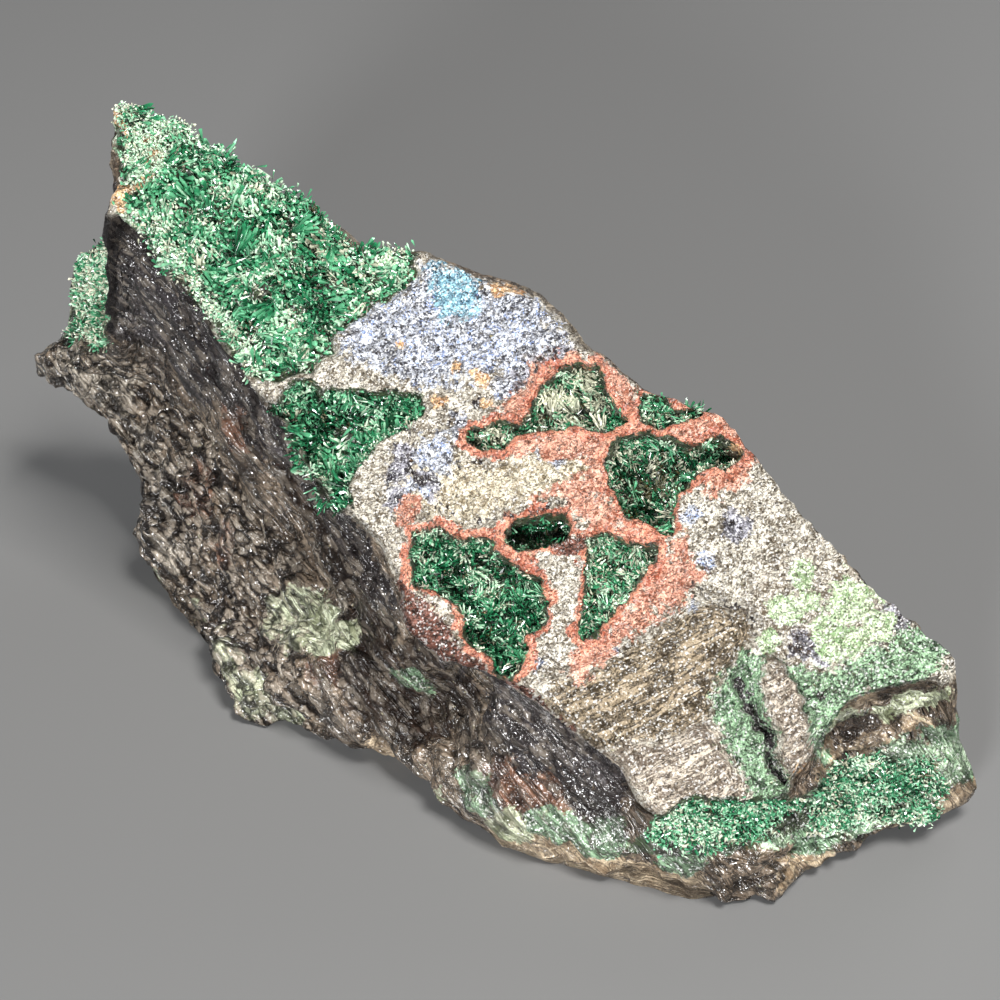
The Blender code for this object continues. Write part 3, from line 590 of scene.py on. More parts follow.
# %% [markdown]
# ## Fine relief
# The minerals of the broken face lie in patches, and some of them break in a way of their own, so their
# outlines come first. The olive and pink bands are striated, as if one layer had slid over another. A
# groove winds round a raised lobe near the thin end, and a crack and a few creases cross the pale parts.

# %% Patches of the broken face
OLIVE_BAND = [(4.6, -18.7), (10.3, -17.5), (15.9, -14.6), (19.6, -11.3), (24.9, -11.7), (25.9, -14.6),
              (23.4, -17.5), (22.1, -20.7), (22, -23), (16.3, -25), (10.2, -25.3), (6.1, -23)]
PINK_BAND = [(6.1, -23), (10.2, -25.3), (16.3, -25), (22, -23), (22.6, -25.6), (25.2, -29.9), (20.3, -32.4),
             (15.2, -32.1), (12, -29.7), (9.2, -27.3)]
GREEN_COAT = [(22.1, -20.7), (23.4, -17.5), (25.1, -16.1), (29.7, -17.2), (33.8, -17.4), (37.1, -15.6),
              (41.6, -12.8), (46.5, -14), (44.9, -17.9), (38.9, -19.7), (35.8, -21.2), (34.4, -26.8),
              (32.5, -30.9), (30.4, -33.9), (25.4, -32.1), (25.2, -29.9), (22.6, -25.6)]
BLUE_HUMP = [(-17.1, 17.5), (-15.5, 20.2), (-11, 22.3), (-8.4, 24.7), (-4.7, 25.3), (0, 22.9), (4.7, 21.2),
             (7.9, 16.4), (4.7, 14.6), (0, 13.5), (-3.1, 12.5), (-8.3, 12.1), (-13.6, 13.7), (-16.7, 15.3)]
CREAM_PART = [(-11.9, 3.1), (-7.3, 4.7), (-3.1, 4), (0, 3.1), (4.7, 5.8), (9.4, 5.2), (10.4, 2.1), (7.3, 0.5),
              (2.1, -0.6), (-3.1, -2.1), (-7.2, -2.1), (-10.9, 0)]
RED_TOP = [(0, 8.4), (1.3, 11.1), (3.7, 13.7), (6.5, 15.7), (9.4, 15.3), (14.6, 12.1), (19.8, 11.1),
           (24.5, 8.4), (26.2, 5.2), (25.4, 2.1), (22, -0.6), (20.8, 3.1), (14.6, 6.3), (10.4, 6.3),
           (6.3, 7.9), (2.1, 7.4)]
RED_MIDDLE = [(-1, 7.9), (4.2, 7.9), (10.4, 7.4), (13, 6.3), (11.6, 3.1), (13, -2.1), (15.5, -4.7),
              (10.4, -4.7), (7.3, -2.1), (6.2, 0), (3.1, 0), (9.4, 3.1), (7.3, 5.2), (2.1, 4.7), (0, 6.3)]
RED_LOW = [(14.5, -6.3), (16.5, -5.8), (19.7, -4.2), (20.6, -7.9), (19.6, -10.5), (15.4, -13.3),
           (11.3, -16.6), (8.2, -18.7), (6.2, -16.6), (9.3, -14.6), (12.4, -11.5)]
MAROON_EDGE = [(-10.6, -8.8), (-8.6, -10.2), (-5.8, -12.4), (-3.8, -15.6), (-0.8, -18.4), (2.6, -19.6),
               (5.2, -21.6), (8.8, -24.4), (7, -25.8), (1, -21.4), (-3.1, -19.4), (-7.5, -17.5), (-11.5, -13)]
TURQUOISE = [(-7.3, 24.5), (-4.2, 25.3), (-2.1, 22.9), (-3.1, 20.2), (-5.8, 19.1), (-7.3, 21.2)]
MINT_TIP = [(-41.5, 43.6), (-38, 43.6), (-33.5, 42), (-33, 39.8), (-35.6, 36.6), (-38.4, 35.6), (-40, 36.6),
            (-41.5, 40)]
PALE_EDGE = [(-40.6, 32.6), (-36.9, 30.3), (-33, 26.4), (-29, 21), (-27.4, 16.4), (-29.2, 16), (-31, 19),
             (-34.6, 23.4), (-38.6, 28), (-41.5, 30)]
print("points of the olive, pink and green outlines:", len(OLIVE_BAND), len(PINK_BAND), len(GREEN_COAT))

# %% Lines of the broken face
TIP_VEINS = [(-40.6, 42.6), (-39.2, 40.4), (-37.4, 39.6), (-36.2, 37), (-37.6, 35.4), (-39.4, 34.4),
             (-40.4, 32)]
GROOVE = [(24.6, -18.9), (25.6, -21.2), (26.6, -23.8), (27.5, -26.3), (28.8, -28.3), (30.4, -29.8)]
CRACK = [(32.6, -1.2), (32.4, -4), (32.2, -7.3), (32.9, -10), (33.4, -12.5)]
CREASES = [[(-9.4, 7.4), (-9.2, 4.2), (-9, 0.8), (-9.5, -0.4)],
           [(-9, 0.8), (-6.6, 2.1), (-4.1, 3.5), (-1.9, 4.2)],
           [(-7.3, 7.4), (-5.2, 8), (-3.5, 7.8)],
           [(-8.3, -1.9), (-5.2, -1.3), (-1.8, -2.1), (1.1, -2.5), (4.8, -1.1), (7.3, -0.4)],
           [(7.2, 20.8), (7.9, 17.5), (4.7, 14.3), (2.1, 12.1)],
           [(19.5, -9.2), (22.4, -10.6), (25.2, -11.4), (26, -14)]]
# Centre, reach along and across, and turn in degrees of the raised lobe.
LOBE = ((29.2, -22.8), (2.2, 6.4), 14.0)
print("creases:", len(CREASES))

# %% [markdown]
# A patch with a ruled edge looks printed. So every outline is tested at places that wander a little, and
# the edge of each patch then wanders too.

# %% Distance from a line and an oval


def line_distance(places, line):
    """Distance of places (h, s) from a line through the given points."""
    nearest = np.full(places.shape[:-1], np.inf)
    for start, end in zip(np.array(line[:-1], float), np.array(line[1:], float)):
        run = end - start
        share = np.clip(((places - start) @ run) / (run @ run), 0.0, 1.0)
        nearest = np.minimum(nearest, np.linalg.norm(places - start - share[..., None] * run, axis=-1))
    return nearest


def oval(places, centre, reach, degrees=0.0):
    """1 at the centre of a turned oval, 0 at its edge and negative beyond."""
    turn = math.radians(degrees)
    away = places - np.array(centre)
    across = away[..., 0] * math.cos(turn) + away[..., 1] * math.sin(turn)
    upward = away[..., 1] * math.cos(turn) - away[..., 0] * math.sin(turn)
    return 1.0 - np.hypot(across / reach[0], upward / reach[1])


print("height of the crack on the face in mm:", round(CRACK[0][1] - CRACK[-1][1], 1))

# %% Places that wander
WANDER_SEEDS = (11, 12)

wander = np.stack([layers(broad, [(wave_noise, 3.1, seed, 0.8), (wave_noise, 1.1, seed + 5, 0.5)])
                   for seed in WANDER_SEEDS], -1)
wandered = face_local[..., :2] + wander


def region(outline, softness=0.8):
    """1 well inside an outline on the broken face, 0 well outside."""
    return smooth_step(-softness, softness, edge_distance(wandered, outline)) * on_face


print("places wander by up to", round(float(np.abs(wander).max()), 2), "mm")

# %% Bands and lines that have relief
BAND_SOFTNESS = 1.6
COAT_SOFTNESS = 1.4
# How far from its line each of these ends, and where it is whole.
LOBE_EDGE = (-0.1, 0.25)
GROOVE_EDGE = (1.0, 0.1)
CREASE_EDGE = (0.8, 0.2)
CRACK_EDGE = (0.35, 0.05)

olive = region(OLIVE_BAND, BAND_SOFTNESS)
pink = region(PINK_BAND, BAND_SOFTNESS)
green_coat = region(GREEN_COAT, COAT_SOFTNESS)
lobe = smooth_step(*LOBE_EDGE, oval(wandered, *LOBE)) * on_face
groove = smooth_step(*GROOVE_EDGE, line_distance(wandered, GROOVE)) * on_face
crack = smooth_step(*CRACK_EDGE, line_distance(wandered, CRACK))
to_crease = np.min([line_distance(wandered, line) for line in CREASES], axis=0)
creases = smooth_step(*CREASE_EDGE, to_crease) * on_face
print("the olive and pink bands cover", round(float((np.maximum(olive, pink) > 0.5).mean()), 3))

# %% [markdown]
# Up close the broken face is a mass of small flakes, so facets and waves of four sizes are laid over one
# another. Low terraces follow the way the layers slid, and the striae are fine waves along it.

# %% Relief of the broken face
STRIAE_TURN = math.radians(27.7)
STRIAE_HEIGHT = 0.22
STRIAE_PACE = 4.2
STRIAE_LEVEL = 0.6
STRIAE_BENDS = [(wave_noise, 4.0, 21, 2.0)]
STRIAE_FADES = [(wave_noise, 5.0, 22, 0.4)]
FACE_LAYERS = [(wave_noise, 5.5, 30, 0.50), (facet_noise, 3.4, 31, 0.36), (facet_noise, 1.6, 32, 0.26),
               (facet_noise, 0.8, 33, 0.12)]
TERRACE_BENDS = [(wave_noise, 7.5, 24, 2.2), (wave_noise, 2.4, 25, 0.6)]
TERRACE_HEIGHT = 0.13
# How much of each set of terraces there is, how often they come, and how steep their edges are.
TERRACES = [(1.0, 1.9, 2.2), (0.6, 4.3, 2.0)]
BAND_SMOOTHNESS = 0.5
GREEN_GRAINS = [(grain_noise, 0.9, 34, 1.0)]
GREEN_HEIGHT = 0.18
GREEN_SINK = 0.4
LOBE_HEIGHT = 1.0
GROOVE_DEPTH = 2.0
CRACK_DEPTH = 0.5
CREASE_DEPTH = 0.45
BAND_STEP = 0.4
BAND_STEP_PACE = 0.9
BAND_STEP_BENDS = [(wave_noise, 6.0, 23, 1.0)]
BAND_STEP_EDGE = (0.0, 0.4)
# How strong the striae of the pink band and the steps of the olive one are, against the other band's.
PINK_STRIAE, OLIVE_STEPS = 0.8, 0.6

across_striae = wandered[..., 1] * math.cos(STRIAE_TURN) - wandered[..., 0] * math.sin(STRIAE_TURN)
striae = np.sin(across_striae * STRIAE_PACE + layers(broad, STRIAE_BENDS))
striae *= STRIAE_LEVEL + layers(broad, STRIAE_FADES)
flow = across_striae + layers(broad, TERRACE_BENDS)
terraces = sum(amount * stepped(flow * pace, steepness) for amount, pace, steepness in TERRACES)
flaky = 1.0 - BAND_SMOOTHNESS * np.maximum(olive, pink)
face_relief = flaky * (layers(broad, FACE_LAYERS) + TERRACE_HEIGHT * terraces)
face_relief += STRIAE_HEIGHT * striae * np.maximum(olive, PINK_STRIAE * pink)
face_relief += green_coat * GREEN_HEIGHT * (layers(broad, GREEN_GRAINS) - GREEN_SINK)
face_relief += LOBE_HEIGHT * lobe - GROOVE_DEPTH * groove - CRACK_DEPTH * crack - CREASE_DEPTH * creases
band_steps = np.sin(across_striae * BAND_STEP_PACE + layers(broad, BAND_STEP_BENDS))
face_relief += BAND_STEP * smooth_step(*BAND_STEP_EDGE, band_steps) * np.maximum(pink, OLIVE_STEPS * olive)
print("relief of the face from", round(float(face_relief.min()), 2), "to", round(float(face_relief.max()), 2))

# %% [markdown]
# The shaded side is drawn out along one direction, like wood grain: its noise is made from points that are
# squeezed along it. Beads of rock, like a cluster of grapes, follow its lower rim.

# %% Relief of the shaded side
SIDE_GRAIN = (0.78, -0.10, -0.62)
SIDE_DRAWN_OUT = 4.0
SIDE_SINK = 0.8
BEAD_SINK = 1.0
BEAD_LAYERS = [(grain_noise, 2.3, 45, 1.2), (grain_noise, 1.2, 46, 0.4)]
BEADS_END_X = -12.0
LINE_START_X = -50.0
# Height of a line at its start, and how much it falls in a millimetre.
BEAD_LINE = (19.0, 0.42)
BEADED_LINE = (20.0, 0.50)
# How far from its line each fades out, and where it is whole.
BEADS_REACH = (8.0, 3.0)
BEADED_REACH = (13.0, 7.0)
BEADED_X = (-4.0, -14.0)
SIDE_BEADED = 0.45
SIDE_BEADED_X = (30.0, 20.0)


def fold_noise(points, cell, seed):
    """Rounded folds from 0 to 1: waves whose lower halves are turned upwards."""
    return np.abs(wave_noise(points, cell, seed))


def off_line(height, fall):
    """How far points of the side are over or under a line that starts at a height and falls to the right."""
    return np.abs(z - height + fall * (x - LINE_START_X))


SIDE_LAYERS = [(facet_noise, 4.2, 41, 1.1), (fold_noise, 1.8, 42, 1.1), (facet_noise, 0.9, 43, 0.34)]
SIDE_CHIPS = [(facet_noise, 1.4, 44, 0.26)]
along_grain = stretched(broad, SIDE_GRAIN, SIDE_DRAWN_OUT)
side_relief = layers(along_grain, SIDE_LAYERS) + layers(broad, SIDE_CHIPS) - SIDE_SINK
beads = smooth_step(*BEADS_REACH, off_line(*BEAD_LINE)) * (x < BEADS_END_X)
side_relief += beads * (layers(broad, BEAD_LAYERS) - BEAD_SINK)
beaded = smooth_step(*BEADED_REACH, off_line(*BEADED_LINE)) * smooth_step(*BEADED_X, x)
beaded = (beaded + SIDE_BEADED * (strip_of_row < FACE_STRIP)) * smooth_step(*SIDE_BEADED_X, x)
print("relief of the side from", round(float(side_relief.min()), 2), "to", round(float(side_relief.max()), 2))

# %% [markdown]
# The back broke roughly, in big facets and ledges that follow the beds of the rock. Its relief starts a
# little way below the ridge and goes inwards, so that the outline of the ridge stays as it is. The thin
# end shows its beds as fine steps.

# %% Relief of the back and the beds
BED_WAY = (0.97, 0.0, -0.25)
BED_DRAWN_OUT = 3.0
BACK_LAYERS = [(facet_noise, 13.0, 50, 2.2), (facet_noise, 3.4, 52, 0.9), (facet_noise, 0.9, 54, 0.16)]
BACK_BED_LAYERS = [(facet_noise, 7.0, 51, 1.7), (facet_noise, 1.5, 53, 0.35)]
LEDGE_WAY = np.array([-0.10, 0.35, 0.9])
LEDGE_BENDS = [(wave_noise, 9.0, 57, 1.6)]
LEDGE_PITCH = 7.5
LEDGE_STEP = 0.7
BACK_SINK = 0.8
RIDGE_FADE_ROWS = 30.0
RIDGE_RELIEF = 0.1
BEDS_X = (36.0, 44.0)
BED_BENDS = [(wave_noise, 7.0, 55, 0.5), (wave_noise, 2.0, 56, 0.25)]
BED_PITCH = 1.55
BED_STEP = 0.26
BED_SHARPNESS = 2.2

along_bed = stretched(broad, BED_WAY, BED_DRAWN_OUT)
below_ridge = smooth_step(0.0, RIDGE_FADE_ROWS, rows_past_ridge)
ledges = (broad @ LEDGE_WAY + layers(broad, LEDGE_BENDS)) / LEDGE_PITCH
back_relief = (layers(broad, BACK_LAYERS) + layers(along_bed, BACK_BED_LAYERS)
               + LEDGE_STEP * stepped(2.0 * math.pi * ledges, STEP_SHARPNESS))
back_relief *= RIDGE_RELIEF + (1.0 - RIDGE_RELIEF) * below_ridge
back_relief -= BACK_SINK * (1.0 + below_ridge)
beds = (z - LAYER_DIP * x + layers(broad, BED_BENDS)) / BED_PITCH
bed_relief = smooth_step(*BEDS_X, x) * BED_STEP * stepped(2.0 * math.pi * beds, BED_SHARPNESS)
print("relief of the back from", round(float(back_relief.min()), 2), "to", round(float(back_relief.max()), 2))

# %% [markdown]
# The three reliefs go onto the stone along its outward normals, averaged over a few neighbours so that
# facets don't cross. Then the ridge and the outermost ends are eased, because their sharp corners fold.

# %% Put the relief on the stone
# Centre, reach along x, y and z, and height of a few small deep pits.
PITS = [((11, -20.4, 17), (1.6, 3, 1.7), -3.0), ((46.8, -8, 13.8), (1.4, 3, 1.0), -1.2),
        ((30, -23.5, 11), (1.4, 2, 0.8), -1.2), ((53.5, -3, 12.4), (1.3, 3, 0.7), -1.4)]
BLUR_STATIONS, BLUR_ROWS = 2, 5
EASED_ROWS = 7.0
EASED_ENDS = (52.0, 57.0)
END_EASING = 0.7
EASING = 0.8
EASING_ROUNDS = 5


def blurred(values):
    """Values averaged over neighbouring cross-sections and rows."""
    rows, columns = range(-BLUR_ROWS, BLUR_ROWS + 1), range(2 * BLUR_STATIONS + 1)
    total = sum(np.roll(values, step, axis=1) for step in rows) / len(rows)
    padded = np.concatenate([total[:1]] * BLUR_STATIONS + [total] + [total[-1:]] * BLUR_STATIONS)
    return sum(padded[step:step + len(total)] for step in columns) / len(columns)


fine = (face_share * face_relief + side_share * (side_relief + bed_relief)
        + back_share * (back_relief + bed_relief))
outward = unit(blurred(grid_normals(broad)))
stone_points = broad + outward * ((fine + bumps_at(broad, PITS)) * end_weight)[..., None]
near_ridge = np.exp(-((rows_past_ridge - EASED_ROWS) / EASED_ROWS) ** 2) * (rows_past_ridge > 0)
near_ends = END_EASING * smooth_step(*EASED_ENDS, np.abs(x)) * (strip_of_row > FACE_STRIP)
eased = np.maximum(near_ridge, near_ends)[..., None]
for _ in range(EASING_ROUNDS):
    around = np.roll(stone_points, 1, axis=1) + np.roll(stone_points, -1, axis=1)
    before = np.concatenate([stone_points[:1], stone_points[:-1]])
    after = np.concatenate([stone_points[1:], stone_points[-1:]])
    stone_points = stone_points + EASING * eased * ((around + (before + after)) / 4.0 - stone_points)
print("fine relief from", round(float(fine.min()), 2), "to", round(float(fine.max()), 2))

# %% [markdown]
# Now the hollows are pressed in. Inside an outline, every point of the surface that stands higher than the
# floor goes down onto it along the slope's own outward way, and the floor rises a little towards the rim.
# The floor is uneven, and lumpier on the peak, where the crystals stand in big clumps.

# %% Floors and edges of the hollows
WOBBLE_SEEDS = (61, 62)
INNER_WOBBLE = 0.6
FLOOR_LAYERS = [(wave_noise, 2.2, 63, 0.7), (facet_noise, 1.0, 64, 0.35)]
PEAK_CLUMPS = [(wave_noise, 4.2, 65, 0.9)]
PEAK_FLOOR_FACTOR = 1.5
PEAK_FLOOR_SINK = 0.3
BOWL_WIDTH = 3.5
BOWL_POWER = 1.5
RIM_EDGE = 0.3
COLOUR_MARGIN = 0.15
NEAR_SLOPE = 6.0
MOSS_REACH = (5.0, 3.5)
ABOVE_TABLE = 1.5
# Distances inside an outline over which crystals start, and those between which the fringe stands.
CRYSTALS_START = (0.0, 0.6)
FRINGE_STARTS, FRINGE_ENDS = (0.0, 0.3), (1.3, 0.6)
LEAST_SINKING = 0.05
LEAST_FRINGE_SINKING = 0.1

wobble = np.stack([layers(stone_points, [(wave_noise, 1.8, seed, 0.45), (facet_noise, 1.0, seed + 3, 0.35)])
                   for seed in WOBBLE_SEEDS], -1)
floor_noise = layers(stone_points, FLOOR_LAYERS)
print("edges of the hollows wobble by up to", round(float(np.abs(wobble).max()), 2), "mm")

# %% Press in the hollows
hollow_colour = np.zeros(on_face.shape)
rim_distance = np.full(on_face.shape, np.inf)
site_weight, site_edge = {}, {}
for name, cut, filled, slope, depth, bowl, wall, red_rim in SITES:
    local = into_slope(stone_points, slope)
    distance = edge_distance(local[..., :2] + wobble, cut)
    if red_rim:
        rim_distance = np.minimum(rim_distance, np.abs(distance))
    clumps = floor_noise
    if name == "druse_peak_face":
        clumps = PEAK_FLOOR_FACTOR * floor_noise + layers(stone_points, PEAK_CLUMPS) - PEAK_FLOOR_SINK
    floor_height = bowl * (1.0 - np.clip(distance / BOWL_WIDTH, 0.0, 1.0)) ** BOWL_POWER - depth + clumps
    reach = smooth_step(0.0, wall, distance)
    sinking = np.maximum(local[..., 2] - floor_height, 0.0) * reach
    to_crystals = edge_distance(local[..., :2] + wobble * INNER_WOBBLE, filled)
    within = smooth_step(*CRYSTALS_START, to_crystals) * (sinking > LEAST_SINKING)
    stone_points = stone_points - sinking[..., None] * slope[1][2]
    site_weight[name] = within * reach
    fringe_here = smooth_step(*FRINGE_ENDS, distance) * smooth_step(*FRINGE_STARTS, distance)
    site_edge[name] = fringe_here * (sinking > LEAST_FRINGE_SINKING)
    # Inside the outline the stone takes the dark hollow colour: the dark green of the crust's floor and
    # painted shade of the deep hollow.
    inside = smooth_step(-RIM_EDGE, RIM_EDGE, edge_distance(local[..., :2] + wobble, filled) + COLOUR_MARGIN)
    if slope is FACE:
        inside *= smooth_step(-RIM_EDGE, RIM_EDGE, distance + COLOUR_MARGIN)
        inside *= (np.abs(local[..., 2]) < NEAR_SLOPE) * (strip_of_row <= FACE_STRIP)
        hollow_colour = np.maximum(hollow_colour, inside)
    if slope is END_SLOPE_FRAME:
        end_moss = inside * smooth_step(*MOSS_REACH, np.abs(local[..., 2]))
        site_weight[name] = np.maximum(site_weight[name], end_moss * (stone_points[..., 2] > ABOVE_TABLE))
grown_over = np.max(list(site_weight.values()), axis=0)
print("part of the surface under crystals:", round(float((grown_over > 0.5).mean()), 3))

# %% [markdown]
# The back stays below a roof that falls away from the ridge, so that nothing of it shows over the ridge.
# The foot stays flat where it stands on the table, and everything else stays just above it.

# %% Ridge and foot
ROOF_FALL = 0.92
ROOF_GAP = 0.15
ROOFED_SHARE = 0.3
TABLE_GAP = 0.4
ON_TABLE = 0.01

ridge = stone_points[:, ridge_row:ridge_row + 1]
roof = ridge[..., 2] - ROOF_GAP - ROOF_FALL * np.maximum(stone_points[..., 1] - ridge[..., 1], 0.0)
roof = np.where(back_share > ROOFED_SHARE, roof, np.inf)
stone_points[..., 2] = np.minimum(stone_points[..., 2], roof)
resting = grid[..., 2] < ON_TABLE
stone_points[..., 2] = np.where(resting, 0.0, np.maximum(stone_points[..., 2], TABLE_GAP))
flat_foot = resting & (strip_of_row == UNDERSIDE_STRIP)
stone_points[..., :2] = np.where(flat_foot[..., None], grid[..., :2], stone_points[..., :2])
stone_normals = grid_normals(stone_points)
print("points on the table:", int(resting.sum()))

# %% [markdown]
# ## Stains, minerals and painted shade
# Each colour of the stone is a mask from 0 to 1 that is kept on the points of the mesh, one attribute for
# each. On the face a mask is an outline or a few spots whose edges wander. On the sides it is a few soft
# balls in space.

# %% Spots on the face
# Each spot is its h, its s and its reach in the frame of the face.
RED_SPOTS = [(4.2, 12.7, 1.6), (6.3, 5.8, 2.4), (2.1, 6.3, 2.2), (10.4, -1.6, 2), (22.4, 6.3, 1.8),
             (13.1, 10.5, 1.8), (3.9, 9.4, 1.4), (16.5, -8.4, 2.2), (-9.6, -1.4, 1.4), (14.6, 1, 1.2)]
BLUE_SPOTS = [(-7, 5, 2.8), (-4.4, 8.2, 1.8), (-5.6, 3.8, 2), (-8.2, 0.6, 1.5), (-4.5, 7, 1.8),
              (-9.2, 1.2, 1.4), (21.2, -6.3, 1.3), (19.6, -11.5, 1.1), (3.6, -17.3, 1.2), (9.2, -16.2, 1),
              (3.9, 4.7, 1), (5.7, 3.4, 1), (12.1, -15.9, 0.8), (19.4, -1.5, 1.5), (0.5, 12, 2.2)]
LIME_SPOTS = [(29.3, -11.7, 1.9), (36.1, -10.4, 2.4), (31.7, -10.4, 1.3), (34.7, -14.6, 1.9),
              (27.7, -15.1, 1.3), (36.5, -14.6, 1.6), (31, -7.9, 1.4), (38.6, -12.6, 1.8), (39.5, -8, 2.2),
              (37, -5, 1.8), (33.2, -12.6, 1.2), (36, -1, 1.6)]
OCHRE_SPOTS = [(-2.3, 12.7, 1.1), (-4.7, 13.7, 0.9), (0.4, 22.8, 1.8), (1.8, 22.6, 1.6), (-10.2, 16.8, 0.8),
               (24.4, 4.7, 0.8), (30.3, -27.9, 0.9), (30.8, -29.7, 0.9), (-40, 42.4, 1.7), (-1, 10.2, 1),
               (-6.5, 10.4, 1.2), (-1.6, -10.6, 0.7), (-0.8, -12.8, 1)]
DARK_SPOTS = [(-9.2, 2.6, 1), (-2, 10.2, 1), (32.8, -20.2, 0.9), (-11.4, 8, 0.9), (30.8, -15.6, 1.2),
              (-8.4, 1.6, 0.8)]
SPECK_SPOTS = [(-10.6, 3, 2.2), (1.8, 13.6, 2.4), (4.6, 14.6, 2.2), (7, 15.6, 1.6), (-9.4, 4.6, 2.4),
               (-7.6, 1.2, 2.4), (-10.6, 0.2, 1.8), (40.7, -11.7, 2.6), (38.4, -13.6, 1.4), (31.2, -15.4, 2),
               (33.2, -15.8, 1.6), (34, -29.6, 2.4), (24, -2.5, 2)]
print("spots of lime and of ochre:", len(LIME_SPOTS), len(OCHRE_SPOTS))

# %% Balls on the sides and the back
# Each ball is the x, y and z of its centre and its reach.
GREEN_BALLS = [(2, -19, 12, 3), (14, -25, 7, 3), (27, -24, 7, 4), (36, -22, 7, 4), (46, -11, 6, 5),
               (54, -4, 7.5, 5), (50, -7, 16.4, 3.4), (56, 0, 12, 2.5), (56, -2, 17, 3), (-54, 6, 31, 5),
               (-46, 3, 38, 6), (-57, 5, 25, 3), (10, -23, 12, 2), (-20, 17, 30, 5), (30, 16, 14, 4),
               (22, -25, 6, 3), (-56, 9, 26, 5), (44, 9, 18, 5), (53, -3, 15.5, 3.2), (47, -9, 15, 3),
               (58.5, 1, 7, 2.6), (57.5, 2, 12, 3)]
MOSS_BALLS = [(51.4, -1.2, 15.6, 3), (46.8, -6.4, 16.4, 2.4), (55, -0.6, 17, 2.4), (-14, -14, 10, 4.4),
              (-10, -15.4, 12.5, 3.4), (-17, -20, 3, 3.4), (-21, -18, 4, 3), (-23, -15, 8, 2.4),
              (-38, -6, 3, 2.6), (-30, -12, 3, 2.4), (-6, -17, 14, 2.2), (-27, -5, 27, 2.2), (-19, -9, 22, 2),
              (-12, -20, 2, 2.2), (18, -26, 4, 3), (10, -22.5, 4, 2.4), (0, 20, 14, 6)]
TAN_BALLS = [(47.5, -7.5, 13.6, 2.4), (50.5, -4.2, 12.6, 2.4), (54.5, -1.2, 12.8, 2.2), (48, -4.6, 18.4, 1.6),
             (36, -23, 1.5, 5), (46, -14, 1.5, 5), (56, -4, 1.6, 5), (28, -25, 1.5, 5), (51, -6, 12, 2.6),
             (47, -10, 11.6, 2), (55.5, -1, 11.6, 2.2), (20, -26, 1.5, 5), (0, -20, 2, 3), (58, 2, 4, 4),
             (-26, 18, 12, 5), (26, 18, 5, 5)]
FERN_BALLS = [(50.4, -7.4, 6.8, 4.6), (46.7, -10.9, 8.4, 3.6), (53.4, -4, 8, 4.6), (57, -0.5, 8.5, 3.6),
              (54, -5, 5.5, 3.6), (44, -16, 8, 3), (56, -1, 12.5, 2.2)]
# Dark brown rock that is also painted shade: under the overhung near edge, and on the left flank, which faces
# away from the light.
UMBER_AND_SHADE_BALLS = [(-7.6, -14.4, 22, 6.5), (-1.2, -18.4, 10.5, 6), (3.5, -18.8, 9.2, 5), (8, -21, 14, 4),
               (5.8, -21.4, 20, 3.6), (-14, -9.5, 26, 5), (-20, -7, 30, 4.5), (1, -18, 16, 5),
               (-4, -17, 17, 4.5), (-46, 2, 8, 7), (-41, -2, 4, 6), (-52, 4, 14, 5), (10.5, -22, 16, 2.6)]
RUST_BALLS = [(-23, -8, 30, 5), (-27, -5, 36, 4), (-15, -12, 28, 3.5), (10, -23, 15, 3.5), (6, -21.5, 21, 3),
              (17, -25, 9, 4), (22, -25, 10, 3), (-33, -5, 16, 4), (-8, -17.5, 8, 4), (-28, -10, 14, 3.5),
              (-10, 20, 26, 7), (40, 12, 10, 5)]
# Pale rock; along the lumpy lower rim of the shaded side it is also painted light, where the rim catches the
# light.
PALE_BALLS = [(-47, -2, 21, 4.5), (-43, -3, 17, 3.5), (-39, -5, 13, 3.5), (-35, -9, 9, 3.2), (-52, 0, 22, 4),
              (-57, 3, 20, 3), (20, 14, 8, 6), (-8, -15.4, 16, 3), (2, -19, 7, 3)]
# A near-black coat that is also painted shade, along the band under the near edge, where the side is
# overhung.
DARK_COAT_AND_SHADE_BALLS = [(14, -22, 18, 5), (20, -22.6, 15, 5), (26, -23, 12.5, 4.5), (11, -21, 19, 4), (-40, -4, 46, 7),
               (-36, -5, 44, 7), (-31, -7, 41, 6), (-25, -9, 38, 6), (-19, -11, 34, 6), (-13, -14, 31, 5.5),
               (-7, -16, 27, 5), (-2, -18, 24, 4), (-40, -3, 36, 7), (-33, -4, 33, 6), (40, -18, 7, 3)]
print("green balls and dark ones:", len(GREEN_BALLS), len(DARK_COAT_AND_SHADE_BALLS))

# %% Masks of spots and balls
BALL_SEEDS = (71, 72, 73)
BALL_WAVES = (2.6, 7.0)
BALL_EDGE = (-0.12, 0.3)
BACK_RAGGED = 1.6
# How deep under the broken face its colours end.
FACE_DEPTH = (-2.6, -1.2)


def spots_on_face(spots, low, high):
    """1 in round spots on the broken face, each given as (h, s, reach), and 0 outside."""
    largest = np.max([oval(wandered, (h, s), (reach, reach)) for h, s, reach in spots], axis=0)
    return smooth_step(low, high, largest)


ragged = np.stack([sum(wave_noise(stone_points, cell, seed) for cell in BALL_WAVES)
                   for seed in BALL_SEEDS], -1)
warped = stone_points + (1.0 + BACK_RAGGED * back_share)[:, None] * ragged
facing = on_face * smooth_step(*FACE_DEPTH, face_local[..., 2])
off_face = 1.0 - facing


def balls(places):
    """1 inside soft ragged balls off the broken face, each given as (x, y, z, reach), and 0 outside."""
    inside = [1.0 - np.linalg.norm(warped - np.array(place[:3]), axis=-1) / place[3] for place in places]
    return smooth_step(*BALL_EDGE, np.max(inside, axis=0)) * off_face


print("part of the surface that is the broken face:", round(float((facing > 0.5).mean()), 3))

# %% [markdown]
# The red mineral lies round the hollows: as a rim that follows every one of them, and as patches between
# them. Waves of two sizes make the rim wider and narrower and thin the patches out.

